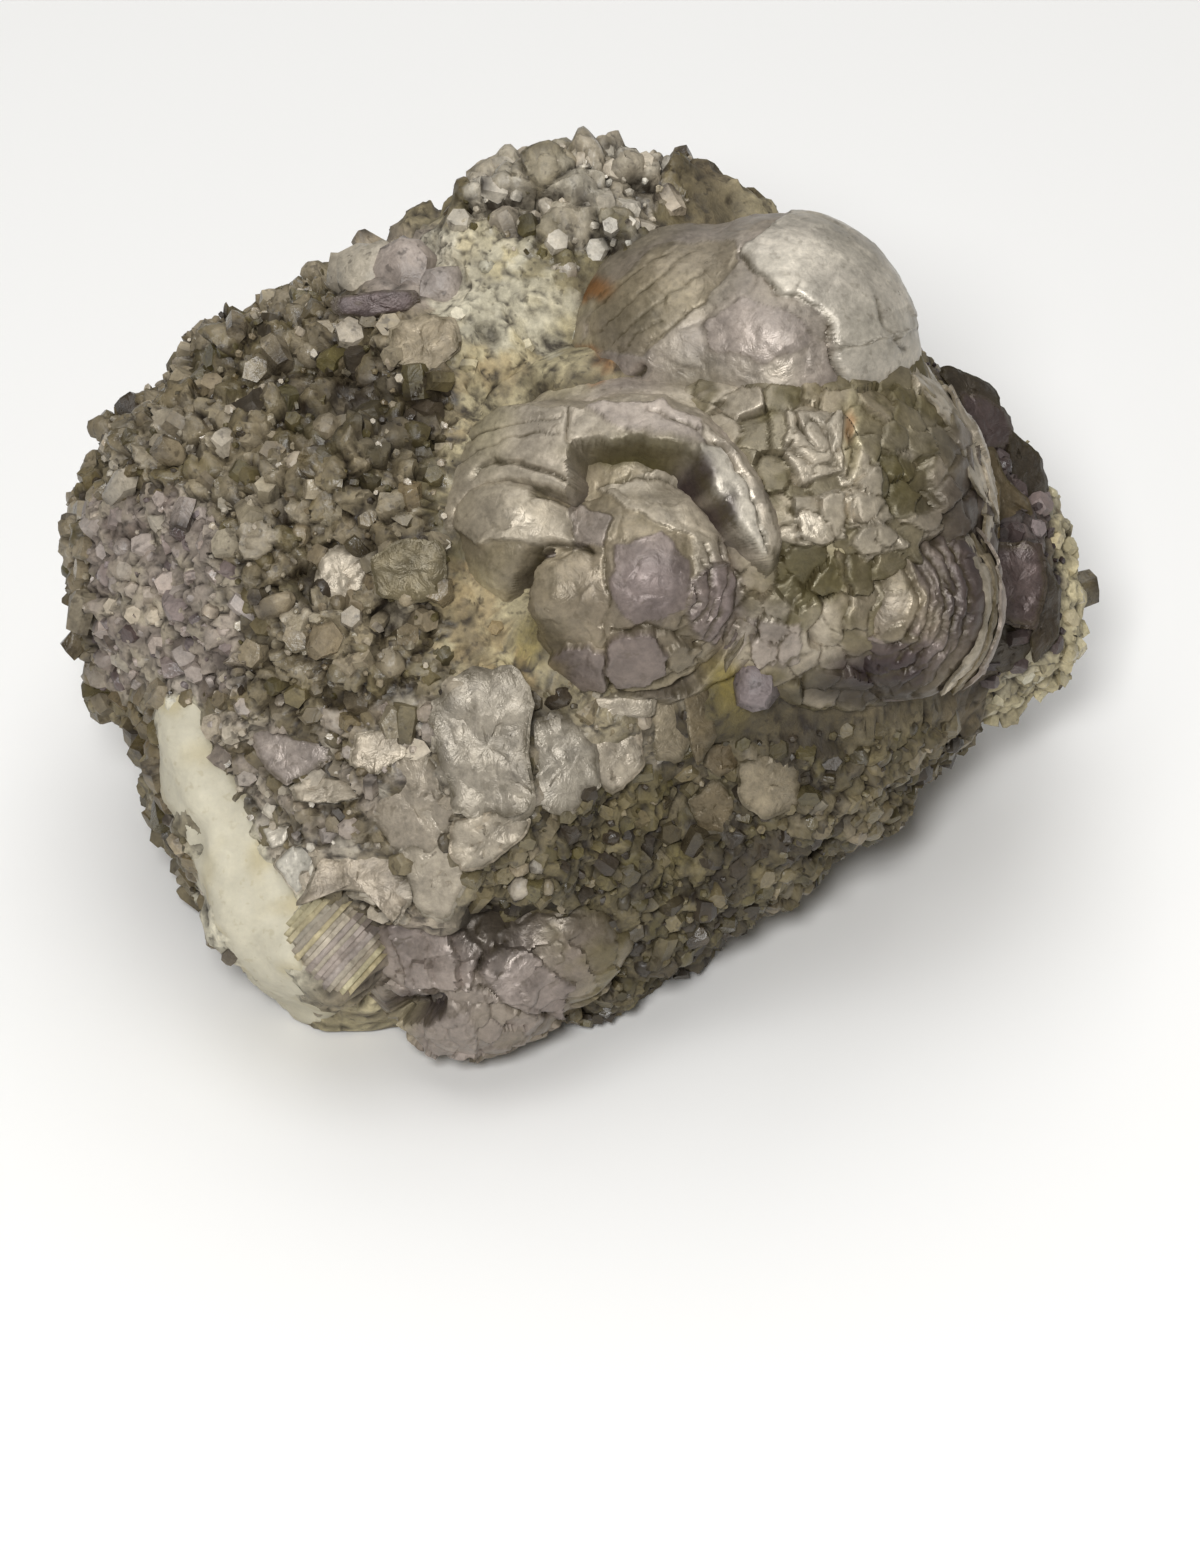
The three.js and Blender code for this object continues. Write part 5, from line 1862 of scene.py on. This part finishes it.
def lay_crumbs(bed, crumbs):
    """Small grains between the others."""
    spots = np.flatnonzero(~np.isin(bed.fields, SMOOTH_FIELDS))
    for i in spots[thinned(bed.places[spots], np.full(len(spots), CRUMB_SPACING))]:
        tint = bed.tint(i, CRUMB_RANK, CRUMB_LUCK)
        axis = bed.axis(i, CRUMB_LEAN)
        radius = random.uniform(*CRUMB_RADIUS)
        add_grain(crumbs, CRUMB, bed.places[i], axis, radius, CRUMB_STAND * radius, tint)


def lay_flakes(bed, front):
    """Small flat grains that glitter."""
    spots = np.flatnonzero(np.isin(bed.fields, SHINY_FIELDS))
    for i in random.choice(spots, FLAKES, replace=False):
        axis = unit(OUT + 0.5 * bed.normals[i] + 0.3 * random.standard_normal(3))
        radius = random.uniform(*FLAKE_RADIUS)
        tint = tint_of(COLOURS["silver"], 0.08, 1.0)
        add_grain(front, FLAT_GRAIN, bed.places[i], axis, radius, FLAKE_STAND, tint)


def lay_crystals(surface, front):
    """The crystals that are drawn one by one."""
    for pixel, radius, height, tone, gloss, flat in CRYSTALS:
        place, normal = surface.near(pixel)
        axis = unit(0.4 * normal + OUT + 0.2 * random.standard_normal(3))
        shape = FLAT_GRAIN if flat else ROUND_GRAIN
        tint = tint_of(COLOURS[tone], 0.04, gloss)
        add_grain(front, shape, place, axis, radius * PIXEL, height, tint)


def lay_grains(surface):
    bed = Bed(surface)
    front, back, crumbs = Heap(), Heap(), Heap()
    lay_fields(bed, front, back)
    lay_crumbs(bed, crumbs)
    lay_flakes(bed, front)
    lay_crystals(surface, front)
    front.piece("front_grains", grain_mica, GRAIN_SHARP)
    back.piece("back_grains", grain_mica, GRAIN_SHARP)
    crumbs.piece("crumbs", grain_mica, CRUMB_SHARP)


# The body shows between these pieces
body = make_body()
for dome in CAPS:
    lay_cap(dome)
rims = Heap()
for rim in RIMS:
    add_rim(rims, *rim)
rims.piece("shell_rims", shell_mica, SHEET_SHARP)
plates = Heap()
for plate in PLATES:
    add_plate(plates, body, *plate)
plates.piece("loose_plates", plate_mica, SHEET_SHARP)
lay_seam(body)
strips = Heap()
lay_book(strips, body)
strips.piece("cleaved_sheets", shell_mica, SHEET_SHARP)
lay_grains(body)

place_camera()
light_stage()
lay_floor()
